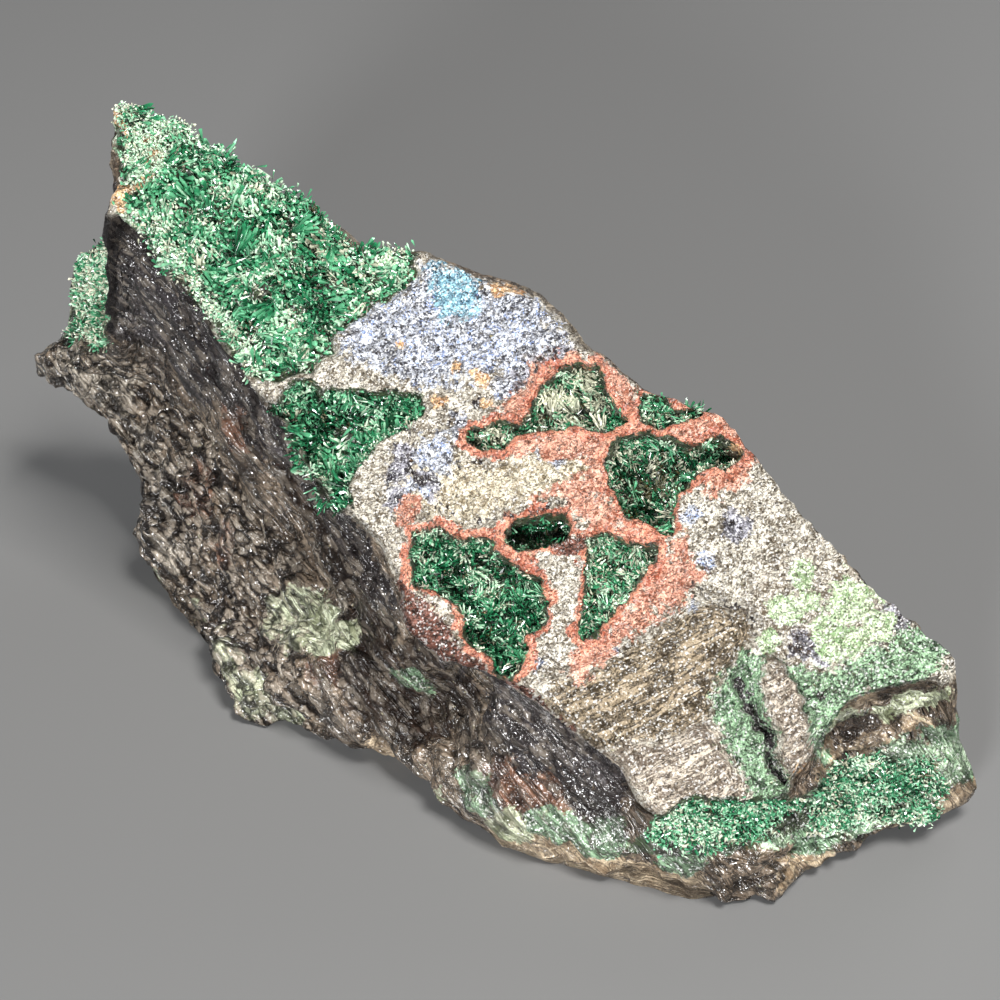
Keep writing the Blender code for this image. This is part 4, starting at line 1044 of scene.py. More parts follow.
# %% Red rims and patches
RED_WAVES = [(wave_noise, 2.4, 75, 0.5), (wave_noise, 1.0, 76, 0.3)]
RIM_WAVES = [(wave_noise, 2.3, 74, 0.55), (wave_noise, 0.9, 77, 0.3)]
RIM_WIDTH = 0.65
RIM_OUTER, RIM_INNER = 0.6, 0.3
RED_STRENGTH = 0.95
RED_PATCHES = [(RED_TOP, 1.2), (RED_MIDDLE, 1.2), (RED_LOW, 1.4)]
RED_SPOT_EDGE = (-0.3, 0.4)

red_patchy = np.maximum.reduce([spots_on_face(RED_SPOTS, *RED_SPOT_EDGE) * on_face]
                               + [region(outline, softness) for outline, softness in RED_PATCHES])
red_patchy *= RED_STRENGTH + layers(stone_points, RED_WAVES)
rim_width = RIM_WIDTH + layers(stone_points, RIM_WAVES)
rim = on_face * smooth_step(rim_width + RIM_OUTER, rim_width - RIM_INNER, rim_distance)
print("red rims cover", round(float((rim > 0.5).mean()), 3))

# %% All colour masks
MAROON_SPOT = ((7.4, -4.6), (2.2, 0.9))
VEINED_PART = ((33.5, -11.0), (11.0, 10.0), 10.0)

masks = {
    "red": np.clip(red_patchy, 0.0, 1.0),
    "rim": rim,
    "blue": np.maximum(region(BLUE_HUMP, 2.6), spots_on_face(BLUE_SPOTS, -0.2, 0.9) * on_face),
    "turquoise": region(TURQUOISE, 1.8),
    "cream": region(CREAM_PART, 2.4),
    "olive": olive * facing,
    "pink": np.maximum(pink, 0.8 * lobe) * facing,
    "maroon": np.maximum(region(MAROON_EDGE, 0.9),
                         smooth_step(-0.2, 0.5, oval(wandered, *MAROON_SPOT)) * on_face),
    "mint": np.maximum(region(MINT_TIP, 0.9), 0.8 * region(PALE_EDGE, 0.8)),
    "green": np.maximum(green_coat * (1.0 - lobe) * facing, balls(GREEN_BALLS)),
    "moss": balls(MOSS_BALLS),
    "lime": spots_on_face(LIME_SPOTS, -0.4, 0.5) * facing,
    "ochre": np.maximum(spots_on_face(OCHRE_SPOTS, -0.2, 0.9),
                        smooth_step(1.1, 0.3, line_distance(wandered, TIP_VEINS))) * on_face,
    # Besides dark spots, the dark mask paints shade: in the groove, in the creases and along the band under
    # the near edge.
    "dark": np.maximum.reduce([spots_on_face(DARK_SPOTS, -0.2, 0.8) * on_face, 0.8 * groove, 0.42 * creases,
                               balls(DARK_COAT_AND_SHADE_BALLS)]),
    "specked": spots_on_face(SPECK_SPOTS, -0.3, 0.8) * facing,
    "tan": balls(TAN_BALLS),
    "rust": balls(RUST_BALLS),
    "pale": balls(PALE_BALLS),
    "veined": smooth_step(-0.1, 0.5, oval(wandered, *VEINED_PART)) * on_face,
    "umber_and_shade": balls(UMBER_AND_SHADE_BALLS),
    "fern": np.maximum(balls(FERN_BALLS), end_moss),
    "beaded": np.clip(beaded, 0.0, 1.0) * off_face,
    "face": facing,
    "side": np.broadcast_to(side_share, on_face.shape) * 1.0,
    "hollow": hollow_colour,
}
for name, mask in masks.items():
    print("mask", name, "covers", round(float((mask > 0.5).mean()), 3))

# %% [markdown]
# ## The stone's mesh
# The grid of points becomes quads, and one point closes each end. The masks go onto the points.

# %% Mesh helpers


def fill_mesh(name, points, faces, values, finish, smooth):
    """A mesh from points in millimetres, face arrays (each n by 3 or n by 4) and named point values."""
    mesh = bpy.data.meshes.new(name)
    mesh.vertices.add(len(points))
    mesh.vertices.foreach_set("co", to_frame(points).ravel())
    corners = np.concatenate([block.ravel() for block in faces])
    counts = np.concatenate([np.full(len(block), block.shape[1]) for block in faces])
    mesh.loops.add(len(corners))
    mesh.loops.foreach_set("vertex_index", corners.astype(np.int32))
    mesh.polygons.add(len(counts))
    mesh.polygons.foreach_set("loop_start", np.concatenate([[0], np.cumsum(counts)[:-1]]).astype(np.int32))
    mesh.polygons.foreach_set("use_smooth", np.full(len(counts), smooth))
    mesh.update(calc_edges=True)
    mesh.validate()
    for value_name, value in values.items():
        attribute = mesh.attributes.new(value_name, "FLOAT", "POINT")
        attribute.data.foreach_set("value", value.astype(np.float32))
    mesh.materials.append(finish)
    result = bpy.data.objects.new(name, mesh)
    bpy.context.scene.collection.objects.link(result)
    return result


def loft_faces(stations_count, rows_count):
    """Quads between neighbouring cross-sections, and triangles from each end ring to its closing point."""
    index = np.arange(stations_count * rows_count).reshape(stations_count, rows_count)
    following = np.roll(index, -1, axis=1)
    quads = np.stack([index[:-1], index[1:], following[1:], following[:-1]], -1).reshape(-1, 4)
    first_tip, last_tip = index.size, index.size + 1
    first = np.stack([index[0], following[0], np.full(rows_count, first_tip)], -1)
    last = np.stack([following[-1], index[-1], np.full(rows_count, last_tip)], -1)
    return [quads, np.concatenate([first, last])]


def with_tips(value):
    """Point values of the loft with the average of each end ring added for its closing point."""
    flat = value.reshape(-1, *value.shape[2:])
    return np.concatenate([flat, [value[0].mean(axis=0)], [value[-1].mean(axis=0)]])


print("faces of the stone:", sum(len(block) for block in loft_faces(*stone_points.shape[:2])))

# %% [markdown]
# ## Materials
# Rock like this looks like salt and pepper: every grain has its own tone and its own tilt. A few small
# functions add the nodes that every finish needs.

# %% Node helpers


def add(tree, kind, values, **settings):
    """Adds a shader node. values sets or links its inputs by name or number."""
    node = tree.nodes.new(kind)
    for key, setting in settings.items():
        setattr(node, key, setting)
    for socket, value in values.items():
        if isinstance(value, bpy.types.NodeSocket):
            tree.links.new(value, node.inputs[socket])
        else:
            node.inputs[socket].default_value = value
    return node


def maths(tree, operation, first, second=0.0, third=0.0):
    """Output of a math node."""
    return add(tree, "ShaderNodeMath", {0: first, 1: second, 2: third}, operation=operation).outputs[0]


def times(tree, first, second):
    """Output of a product."""
    return maths(tree, "MULTIPLY", first, second)


def times_plus(tree, value, factor, added):
    """Output of value times factor plus added."""
    return maths(tree, "MULTIPLY_ADD", value, factor, added)


def vectors(tree, operation, first, second):
    """Output of a vector math node."""
    node = add(tree, "ShaderNodeVectorMath", {0: first}, operation=operation)
    second_socket = node.inputs["Scale" if operation == "SCALE" else 1]
    if isinstance(second, bpy.types.NodeSocket):
        tree.links.new(second, second_socket)
    else:
        second_socket.default_value = second
    return node.outputs["Value" if operation == "DOT_PRODUCT" else 0]


# %% Helpers for textures and mixes


def noise(tree, place, scale, detail, roughness=0.5, distortion=0.0):
    """Outputs of a noise texture."""
    return add(tree, "ShaderNodeTexNoise", {"Vector": place, "Scale": scale, "Detail": detail,
                                            "Roughness": roughness, "Distortion": distortion}).outputs


def blend(tree, share, low, high):
    """Output of a colour mix: low where share is 0, high where it is 1."""
    low = (*low, 1.0) if isinstance(low, tuple) else low
    high = (*high, 1.0) if isinstance(high, tuple) else high
    return add(tree, "ShaderNodeMix", {0: share, 6: low, 7: high}, data_type="RGBA").outputs[2]


def between(tree, share, low, high):
    """Output of a number mix: low where share is 0, high where it is 1."""
    return add(tree, "ShaderNodeMix", {0: share, 2: low, 3: high}).outputs[0]


def ramp(tree, value, low, high):
    """Output that rises from 0 at low to 1 at high."""
    values = {0: value, 1: low, 2: high}
    return add(tree, "ShaderNodeMapRange", values, interpolation_type="SMOOTHSTEP").outputs[0]


def thin_lines(tree, value, outer, inner):
    """Output that is 1 on the lines where a noise is 0.5 and 0 away from them."""
    return ramp(tree, maths(tree, "ABSOLUTE", maths(tree, "SUBTRACT", value, 0.5)), outer, inner)


def squeezed(tree, place, direction, stretch):
    """Output of a place squeezed along a direction, so that a pattern on it is drawn out along it."""
    run = times(tree, vectors(tree, "DOT_PRODUCT", place, direction), stretch)
    return vectors(tree, "SUBTRACT", place, vectors(tree, "SCALE", direction, run))


# %% [markdown]
# The patterns that the rock's minerals share are node groups: built once, with named inputs and outputs.
# `rock_flakes` makes grains, each with a tone, a number by chance and a tilt of its own, and thin lines that
# get painted shade as fine crevices. `wisps` makes streaks that are drawn out along a direction, with such
# lines too. `rock_beads` makes rounded beads, and gaps between them that get painted shade.
# `patch_edge` turns a mask into a patch whose edge follows the grains.

# %% Group for grains
FLAKE_BASE = 0.35


def new_group(name, inputs, outputs):
    """An empty node group with its input and output sockets."""
    group = bpy.data.node_groups.new(name, "ShaderNodeTree")
    for way, sockets in (("INPUT", inputs), ("OUTPUT", outputs)):
        for socket in sockets:
            kind = "NodeSocketVector" if socket in ("Place", "Direction") else "NodeSocketFloat"
            group.interface.new_socket(socket, in_out=way, socket_type=kind)
    return group, group.nodes.new("NodeGroupInput").outputs, group.nodes.new("NodeGroupOutput").inputs


def give(group, given, values):
    """Links values to the outputs of a group, which are named as the values are."""
    for socket, value in values.items():
        group.links.new(value, given[socket])


flakes, taken, given = new_group("rock_flakes", ["Place", "Size"], ["Tone", "Chance", "Height", "Line"])
density = maths(flakes, "DIVIDE", 1.0, taken["Size"])
cells = add(flakes, "ShaderNodeTexVoronoi", {"Vector": taken["Place"], "Scale": density}).outputs
parts = add(flakes, "ShaderNodeSeparateColor", {0: cells["Color"]}).outputs
away = vectors(flakes, "SUBTRACT", taken["Place"], cells["Position"])
slant = vectors(flakes, "DOT_PRODUCT", away, vectors(flakes, "SUBTRACT", cells["Color"], (0.5, 0.5, 0.5)))
speckle = noise(flakes, taken["Place"], times(flakes, density, 1.7), 1.0, 0.7)["Fac"]
tone = times_plus(flakes, parts[0], 0.55, times(flakes, speckle, 0.9))
give(flakes, given, {"Tone": ramp(flakes, tone, 0.42, 0.98), "Chance": parts[1],
                     "Height": times_plus(flakes, times(flakes, parts[2], FLAKE_BASE), taken["Size"], slant),
                     "Line": thin_lines(flakes, speckle, 0.035, 0.006)})
print("nodes of the grains:", len(flakes.nodes))

# %% Group for streaks
wisps, taken, given = new_group("wisps", ["Place", "Direction", "Size", "Stretch"],
                                ["Tone", "Line", "Height"])
lines = noise(wisps, squeezed(wisps, taken["Place"], taken["Direction"], taken["Stretch"]),
              maths(wisps, "DIVIDE", 1.0, taken["Size"]), 2.0, 0.66, 1.0)["Fac"]
give(wisps, given, {"Tone": ramp(wisps, lines, 0.36, 0.64), "Line": thin_lines(wisps, lines, 0.024, 0.004),
                    "Height": times(wisps, lines, taken["Size"])})
print("nodes of the streaks:", len(wisps.nodes))

# %% Group for beads
BEAD_STRETCH = 0.6
BEAD_ROUNDNESS = 1.5

bead_group, taken, given = new_group("rock_beads", ["Place", "Direction", "Size"],
                                     ["Height", "Gap", "Chance"])
stir = noise(bead_group, taken["Place"], 0.9, 1.0)["Color"]
drawn_out = squeezed(bead_group, taken["Place"], taken["Direction"], BEAD_STRETCH)
stirred = vectors(bead_group, "ADD", drawn_out, stir)
cells = add(bead_group, "ShaderNodeTexVoronoi",
            {"Vector": stirred, "Scale": maths(bead_group, "DIVIDE", 1.0, taken["Size"])}).outputs
parts = add(bead_group, "ShaderNodeSeparateColor", {0: cells["Color"]}).outputs
round_off = times(bead_group, times(bead_group, cells["Distance"], cells["Distance"]), BEAD_ROUNDNESS)
bead_height = times(bead_group, maths(bead_group, "SUBTRACT", parts[0], round_off), taken["Size"])
give(bead_group, given, {"Height": bead_height, "Gap": ramp(bead_group, cells["Distance"], 0.38, 0.68),
                         "Chance": parts[1]})
print("nodes of the beads:", len(bead_group.nodes))

# %% Group for the edge of a patch
patch, taken, given = new_group("patch_edge", ["Mask", "Noise", "Chance"], ["Share"])
shifted = times_plus(patch, taken["Noise"], 1.1, maths(patch, "SUBTRACT", taken["Mask"], 0.80))
shifted = times_plus(patch, taken["Chance"], 0.5, shifted)
give(patch, given, {"Share": ramp(patch, shifted, 0.34, 0.66)})
print("node groups:", [group.name for group in bpy.data.node_groups])

# %% [markdown]
# The real rock is a mix of minerals. Each is a dark and a light colour, and the grains choose between the
# two. They go on in the order of this table, each over those before it. Three of them, umber, dark and
# hollow, also carry painted shade.

# %% Minerals
# Mask, dark colour, light colour, roughness, and how metallic it looks.
MINERALS = [("side", (0.012, 0.009, 0.006), (0.27, 0.20, 0.14), 0.25, 0.0),
            ("face", (0.11, 0.085, 0.055), (0.76, 0.71, 0.60), 0.36, 0.0),
            ("cream", (0.22, 0.17, 0.10), (0.84, 0.76, 0.58), 0.42, 0.0),
            ("olive", (0.035, 0.024, 0.011), (0.38, 0.30, 0.20), 0.34, 0.0),
            ("pink", (0.12, 0.088, 0.062), (0.60, 0.52, 0.42), 0.40, 0.0),
            ("specked", (0.018, 0.016, 0.022), (0.50, 0.49, 0.55), 0.28, 0.1),
            ("blue", (0.04, 0.042, 0.055), (0.80, 0.83, 0.90), 0.28, 0.1),
            ("turquoise", (0.04, 0.11, 0.17), (0.38, 0.68, 0.80), 0.30, 0.1),
            ("pale", (0.05, 0.04, 0.03), (0.60, 0.53, 0.43), 0.34, 0.0),
            ("rust", (0.026, 0.010, 0.006), (0.25, 0.11, 0.06), 0.32, 0.0),
            # Near-black brown rock and painted shade, under the near edge and on the left flank.
            ("umber_and_shade", (0.004, 0.002, 0.0015), (0.035, 0.018, 0.011), 0.36, 0.0),
            ("tan", (0.20, 0.13, 0.07), (0.84, 0.66, 0.44), 0.6, 0.0),
            ("red", (0.28, 0.085, 0.045), (0.84, 0.46, 0.33), 0.46, 0.0),
            ("rim", (0.32, 0.075, 0.038), (0.80, 0.36, 0.235), 0.48, 0.0),
            ("maroon", (0.020, 0.008, 0.006), (0.25, 0.105, 0.075), 0.28, 0.0),
            ("green", (0.012, 0.034, 0.015), (0.38, 0.60, 0.36), 0.36, 0.0),
            ("fern", (0.06, 0.14, 0.065), (0.70, 0.90, 0.62), 0.34, 0.0),
            ("moss", (0.22, 0.25, 0.13), (0.90, 0.96, 0.68), 0.42, 0.0),
            ("mint", (0.12, 0.22, 0.11), (0.84, 0.95, 0.78), 0.45, 0.0),
            ("lime", (0.24, 0.38, 0.17), (0.84, 0.96, 0.68), 0.48, 0.0),
            # The dark and hollow minerals are partly painted shade: the band under the near edge, the groove,
            # the creases and the floors of the hollows.
            ("dark", (0.006, 0.005, 0.007), (0.060, 0.052, 0.056), 0.22, 0.0),
            ("hollow", (0.005, 0.008, 0.004), (0.075, 0.115, 0.05), 0.5, 0.0),
            ("ochre", (0.34, 0.16, 0.06), (0.92, 0.66, 0.38), 0.55, 0.0)]
EARTH = ((0.022, 0.015, 0.010), (0.24, 0.175, 0.12))
SAND = ((0.05, 0.038, 0.026), (0.50, 0.42, 0.31))
AZURE = (0.26, 0.36, 0.66)
BASE_ROUGHNESS = 0.45
print("minerals:", len(MINERALS))

# %% [markdown]
# The patterns are placed on the stone in millimetres. Streaks run along the striae on the face, and along
# the grain of the rock on the shaded side.

# %% Patterns of the stone
FLAKE_SIZE, TINY_FLAKE_SIZE = 0.46, 0.19
WISP_SIZES = (0.8, 1.5)
SIDE_WISP_STRETCH = 0.85
BEAD_SIZE = 0.95

stone_finish = bpy.data.materials.new("stone")
stone_finish.use_nodes = True
tree = stone_finish.node_tree
place = vectors(tree, "SCALE", add(tree, "ShaderNodeTexCoord", {}).outputs["Object"], 1.0 / MM)


def attribute(name):
    """Output of a named point value."""
    return add(tree, "ShaderNodeAttribute", {}, attribute_name=name).outputs["Fac"]


def grouped(group, values):
    """Outputs of a node group with its inputs set or linked."""
    return add(tree, "ShaderNodeGroup", values, node_tree=group).outputs


STRIAE_WAY = tuple(np.array([math.cos(STRIAE_TURN), math.sin(STRIAE_TURN)]) @ FACE[1][:2])
on_side, facing_up = attribute("side"), attribute("face")
small = grouped(flakes, {"Place": place, "Size": FLAKE_SIZE})
tiny = grouped(flakes, {"Place": place, "Size": TINY_FLAKE_SIZE})
drift = noise(tree, place, 0.5, 3.0, 0.75)["Fac"]
edge_noise = noise(tree, place, 1.1, 2.0, 0.7)["Fac"]
stain = noise(tree, place, 0.11, 3.0, 0.6)["Fac"]
banded = maths(tree, "MAXIMUM", attribute("olive"), attribute("pink"))
ways = {0: on_side, 4: STRIAE_WAY, 5: SIDE_GRAIN}
grain_way = add(tree, "ShaderNodeMix", ways, data_type="VECTOR").outputs[1]
face_stretch = times_plus(tree, banded, 0.5, 0.36)
wisp = grouped(wisps, {"Place": place, "Direction": grain_way, "Size": between(tree, on_side, *WISP_SIZES),
                       "Stretch": between(tree, on_side, face_stretch, SIDE_WISP_STRETCH)})
lumps = grouped(bead_group, {"Place": place, "Direction": SIDE_GRAIN, "Size": BEAD_SIZE})
lumpy = times(tree, attribute("beaded"), ramp(tree, edge_noise, 0.30, 0.45))
print("nodes of the patterns:", len(tree.nodes))

# %% [markdown]
# One number decides at every place between the dark and the light colour of its mineral. Grains of two
# sizes, slow drift and streaks add up to it.

# %% Tone of the stone
speckled = times_plus(tree, small["Tone"], 0.30, times(tree, tiny["Tone"], 0.40))
tone = between(tree, facing_up, times_plus(tree, speckled, 0.40, 0.20), speckled)
tone = maths(tree, "ADD", tone, times_plus(tree, drift, 1.1, -0.46))
wisp_weight = between(tree, facing_up, 0.34, times_plus(tree, banded, 0.30, 0.22))
tone = times_plus(tree, maths(tree, "SUBTRACT", wisp["Tone"], 0.48), wisp_weight, tone)
tone = ramp(tree, tone, 0.12, 0.88)
print("nodes up to the tone:", len(tree.nodes))

# %% Lay the minerals over one another
colour = blend(tree, ramp(tree, stain, 0.42, 0.60), blend(tree, tone, *EARTH), blend(tree, tone, *SAND))
rough, sheen = BASE_ROUGHNESS, 0.0
for name, low, high, roughness_here, metal in MINERALS:
    share = grouped(patch, {"Mask": attribute(name), "Noise": edge_noise, "Chance": small["Chance"]})["Share"]
    mineral = blend(tree, tone, low, high)
    if name == "blue":
        azure = blend(tree, ramp(tree, tiny["Chance"], 0.70, 0.78), mineral, AZURE)
        mineral = blend(tree, ramp(tree, drift, 0.42, 0.6), mineral, azure)
    colour = blend(tree, share, colour, mineral)
    rough = between(tree, share, rough, roughness_here)
    sheen = between(tree, share, sheen, metal)
print("nodes up to the minerals:", len(tree.nodes))

# %% [markdown]
# Small things go over the minerals: thin cracks, soot on the shaded side, painted glints on a few grains,
# painted shade along thin crevice lines, in small pits and in the gaps of the beads, and painted highlight on
# the bead tops.

# %% Cracks, painted glints, and painted shade and highlight of lines, pits and beads
cracked = times(tree, thin_lines(tree, edge_noise, 0.035, 0.008), attribute("veined"))
sooty = times(tree, ramp(tree, stain, 0.52, 0.40), on_side)
glinting = maths(tree, "MAXIMUM", facing_up, maths(tree, "MAXIMUM", attribute("green"), attribute("fern")))
reddish = maths(tree, "MAXIMUM", attribute("rim"), attribute("red"))
glinting = times(tree, glinting, times_plus(tree, reddish, -0.75, 1.0))
# Painted glints: a few random grains of the face and of the green crusts are painted nearly white.
sparkle = times(tree, ramp(tree, tiny["Chance"], 0.86, 0.90), glinting)
# Painted shade of small pits: a few random grains of the face are painted nearly black.
pit_shade = times(tree, ramp(tree, tiny["Chance"], 0.09, 0.06), facing_up)
# Painted highlight on the tops of some beads, lighter as if lit, and painted shade in the gaps between them.
bead_top_highlight = times(tree, maths(tree, "SUBTRACT", 1.0, lumps["Gap"]), lumps["Chance"])
# Where each lies, how strong it is, and its colour.
# The two kinds of thin lines are painted shade of fine crevices, and the gaps between the beads are painted
# shade too.
COVERS = [(cracked, 0.6, (0.14, 0.10, 0.065)), (wisp["Line"], 0.75, (0.030, 0.021, 0.014)),
          (small["Line"], 0.6, (0.045, 0.032, 0.022)), (sooty, 0.6, (0.012, 0.008, 0.007)),
          (sparkle, 0.45, (0.95, 0.94, 0.91)), (pit_shade, 0.6, (0.020, 0.016, 0.012)),
          (times(tree, bead_top_highlight, lumpy), 0.7, (0.46, 0.39, 0.31)),
          (times(tree, lumps["Gap"], lumpy), 0.85, (0.010, 0.007, 0.006))]
for cover, strength, cover_colour in COVERS:
    colour = blend(tree, times(tree, cover, strength), colour, cover_colour)
print("covers over the minerals:", len(COVERS))

# %% [markdown]
# The same patterns are also heights, which a bump node turns into small tilts of the surface. The shaded
# side has a thin glassy coat over it, which gives it its oily gloss.

# %% Height and gloss of the stone
COAT_SHARE = 0.7
COAT_ROUGHNESS = 0.2
COAT_IOR = 1.7

rough = times_plus(tree, ramp(tree, small["Chance"], 0.5, 0.8), -0.10, rough)
flake_height = times_plus(tree, tiny["Height"], 0.55, times(tree, small["Height"], 0.75))
smoother = times(tree, on_side, maths(tree, "SUBTRACT", 1.0, attribute("dark")))
flake_height = times(tree, flake_height, times_plus(tree, smoother, -0.6, 1.0))
height = times_plus(tree, wisp["Height"], times_plus(tree, on_side, 0.45, 0.35), flake_height)
height = times_plus(tree, wisp["Line"], -0.10, height)
height = times_plus(tree, lumps["Height"], times(tree, lumpy, 0.7), height)
bump = add(tree, "ShaderNodeBump", {"Strength": 1.0, "Distance": MM, "Height": height}).outputs[0]
glossy = times(tree, on_side, maths(tree, "SUBTRACT", 1.0, attribute("umber_and_shade")))
shader = tree.nodes["Principled BSDF"]
for socket, value in {"Base Color": colour, "Roughness": rough, "Metallic": sheen, "Normal": bump,
                      "Coat Normal": bump, "Coat Weight": times(tree, glossy, COAT_SHARE)}.items():
    tree.links.new(value, shader.inputs[socket])
shader.inputs["Coat Roughness"].default_value = COAT_ROUGHNESS
shader.inputs["Coat IOR"].default_value = COAT_IOR
print("nodes in the stone's material:", len(tree.nodes))

# %% The stone
stone = fill_mesh("stone", with_tips(stone_points), loft_faces(*stone_points.shape[:2]),
                  {name: with_tips(mask.astype(float)) for name, mask in masks.items()}, stone_finish, True)
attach(stone, "root")
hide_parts("matrix")
print("stone points:", len(stone.data.vertices))

# %% [markdown]
# ## The crystals
# Brochantite grows as thin blades that stand in sprays, each from one point of the wall, and the sprays run
# into one another. The tint of a blade runs from deep emerald to nearly white, for thin ones let light
# through and thick ones don't. Some are straw-coloured, and all get painted shade, darker towards their foot.

# %% Crystal material
CRYSTAL_ROUGHNESS = 0.2
CRYSTAL_IOR = 1.75
# Where on the tint each step starts and ends, and the colour it leads to.
GREEN_STEPS = [(0.0, 0.35, (0.018, 0.20, 0.08)), (0.33, 0.66, (0.16, 0.50, 0.27)),
               (0.60, 0.96, (0.72, 0.90, 0.68))]
DEEPEST_GREEN = (0.004, 0.014, 0.006)
STRAW = ((0.07, 0.055, 0.02), (0.95, 0.92, 0.72))
# Colour of the painted shade at the foot of a blade.
FOOT_SHADE_COLOUR = (0.0, 0.005, 0.002)

crystal_finish = bpy.data.materials.new("crystal")
crystal_finish.use_nodes = True
tree = crystal_finish.node_tree
tint, upward, paleness = attribute("tint"), attribute("along"), attribute("pale")
green = DEEPEST_GREEN
for low, high, step_colour in GREEN_STEPS:
    green = blend(tree, ramp(tree, tint, low, high), green, step_colour)
green = blend(tree, paleness, green, blend(tree, tint, *STRAW))
shader = tree.nodes["Principled BSDF"]
# Painted shade: each blade darkens from its tip down to a near-black foot, as if shaded by the blades round
# it.
lit = times_plus(tree, upward, 0.8, 0.2)
tree.links.new(blend(tree, lit, FOOT_SHADE_COLOUR, green), shader.inputs["Base Color"])
shader.inputs["Roughness"].default_value = CRYSTAL_ROUGHNESS
shader.inputs["IOR"].default_value = CRYSTAL_IOR
print("nodes in the crystals' material:", len(tree.nodes))

# %% [markdown]
# Every blade is a flat spindle with a chisel tip: six points and eight triangles. With so few, more than
# ninety thousand of them are no trouble.

# %% Blades
BLADE_POINTS = 6
BLADE_ALONG = (0.0, 0.85, 0.85, 0.85, 0.85, 1.0)
BLADE_RING = np.array([(-0.5, -0.5), (0.5, -0.5), (0.5, 0.5), (-0.5, 0.5)])
BLADE_TRIANGLES = np.array([(2, 1, 0), (3, 2, 0), (4, 3, 0), (1, 4, 0),
                            (1, 2, 5), (2, 3, 5), (3, 4, 5), (4, 1, 5)])
BLADE_FLATNESS = 0.5
SHOULDER = (0.78, 0.97)
TIP_SHIFT = 0.4
BURIED = 0.45


def blades(foot, ahead, length, width, chance):
    """Points of flat spindles: the foot, a ring of four near the end of the length, and the tip."""
    side = unit(np.cross(ahead, chance.normal(size=ahead.shape)))
    flat = np.cross(ahead, side) * BLADE_FLATNESS
    ring = (side[:, None] * BLADE_RING[:, :1] + flat[:, None] * BLADE_RING[:, 1:]) * width[:, None, None]
    shoulder = length * chance.uniform(*SHOULDER, len(length))
    high = foot[:, None] + (ahead * shoulder[:, None])[:, None] + ring
    aside = width * chance.uniform(-TIP_SHIFT, TIP_SHIFT, len(width))
    tip = foot + ahead * length[:, None] + side * aside[:, None]
    return np.concatenate([foot[:, None], high, tip[:, None]], axis=1)


def blade_faces(count):
    """Faces of that many blades: four long triangles from the foot and four short ones to the tip."""
    return [(BLADE_TRIANGLES + (np.arange(count) * BLADE_POINTS)[:, None, None]).reshape(-1, 3)]


print("triangles of a blade:", len(BLADE_TRIANGLES))

# %% [markdown]
# The points of the stone are the places where crystals can start. A spray picks one of them, with odds
# that follow the mask of its hollow and the area round the point, and its blades open round one axis.

# %% Places for sprays
flat_points = stone_points.reshape(-1, 3)
flat_normals = stone_normals.reshape(-1, 3)
along_step = np.linalg.norm(np.gradient(stone_points, axis=0), axis=-1)
around_step = np.linalg.norm(np.roll(stone_points, -1, axis=1) - stone_points, axis=-1)
cell_area = along_step * around_step
print("area of the stone in square centimetres:", round(float(cell_area.sum()) / 100.0, 1))

# %% Sprays
# How much the surface and its whole slope count for the way out of the wall.
WALL_SHARES = (0.6, 0.8)
AXIS_LEAST, BLADE_LEAST = 0.3, 0.1
LEAST_CLIMB = 0.05
SHORTEST = 0.22
LEAST_ROOM = 0.25
SLENDER = 0.45
# Shares of its spray's length and width that a blade may have.
LENGTH_SHARES = (0.4, 1.0)
WIDTH_SHARES = (0.5, 1.1)


def kept_off(ahead, wall, least):
    """Directions turned away from the wall until they leave it at least that steeply."""
    short = np.maximum(least - (ahead * wall).sum(-1, keepdims=True), 0.0)
    return unit(ahead + wall * short)


def sprays(weight, slope, limit, count, each, length, width, spread, scatter, lean, chance):
    """Feet, directions, lengths, widths and spray numbers of blades that stand in sprays.

    weight says where sprays may start, limit how high over the slope a tip may reach, spread how wide a
    spray opens, scatter how far apart its feet are, and lean how far it tips away from the wall.
    """
    odds = (weight * cell_area).ravel()
    start = chance.choice(len(odds), size=count, p=odds / odds.sum())
    wall = unit(flat_normals[start] * WALL_SHARES[0] + slope[1][2] * WALL_SHARES[1])
    axis = kept_off(unit(wall + lean * chance.normal(size=(count, 3))), wall, AXIS_LEAST)
    spray = np.repeat(np.arange(count), each)
    total = count * each
    ahead = kept_off(unit(axis[spray] + spread * chance.normal(size=(total, 3))), wall[spray], BLADE_LEAST)
    foot = flat_points[start][spray] + chance.normal(size=(total, 3)) * scatter - ahead * BURIED
    reach = chance.uniform(*length, count)[spray] * chance.uniform(*LENGTH_SHARES, total) + BURIED
    height = into_slope(foot, slope)[:, 2]
    climb = ahead @ slope[1][2]
    room = np.where(climb > LEAST_CLIMB, (limit - height) / np.maximum(climb, LEAST_CLIMB), np.inf)
    reach = np.clip(reach, SHORTEST + BURIED, np.maximum(room, LEAST_ROOM + BURIED))
    thick = chance.uniform(*width, count)[spray] * chance.uniform(*WIDTH_SHARES, total)
    return foot, ahead, reach, np.minimum(thick, reach * SLENDER), spray


print("shortest blade in mm:", SHORTEST)

# %% [markdown]
# A hollow gets a felt of short crystals, longer needles over it and a fringe along its edge. The peak has
# a pale tip and a pale edge, and bundles of parallel blades between them, so its kinds grow in zones of
# their own. A few big fans stand where the eye finds them on the real piece.

# %% Common kinds of crystals
# A kind says where it grows, how many sprays it has, how many blades in each, their length and width in
# millimetres, how wide a spray opens, how far apart its feet are, how far it leans, its tint, and the share
# of it that is straw-coloured.


def felt(count, each, tint, pale):
    """Short crystals that cover a whole floor."""
    return ("any", count, each, (0.3, 1.0), (0.14, 0.28), 0.9, 0.25, 0.6, tint, pale)


def needles(count, each, tint, pale, length=(0.9, 2.2)):
    """Long thin crystals in open sprays."""
    return ("any", count, each, length, (0.14, 0.30), 0.35, 0.2, 0.9, tint, pale)


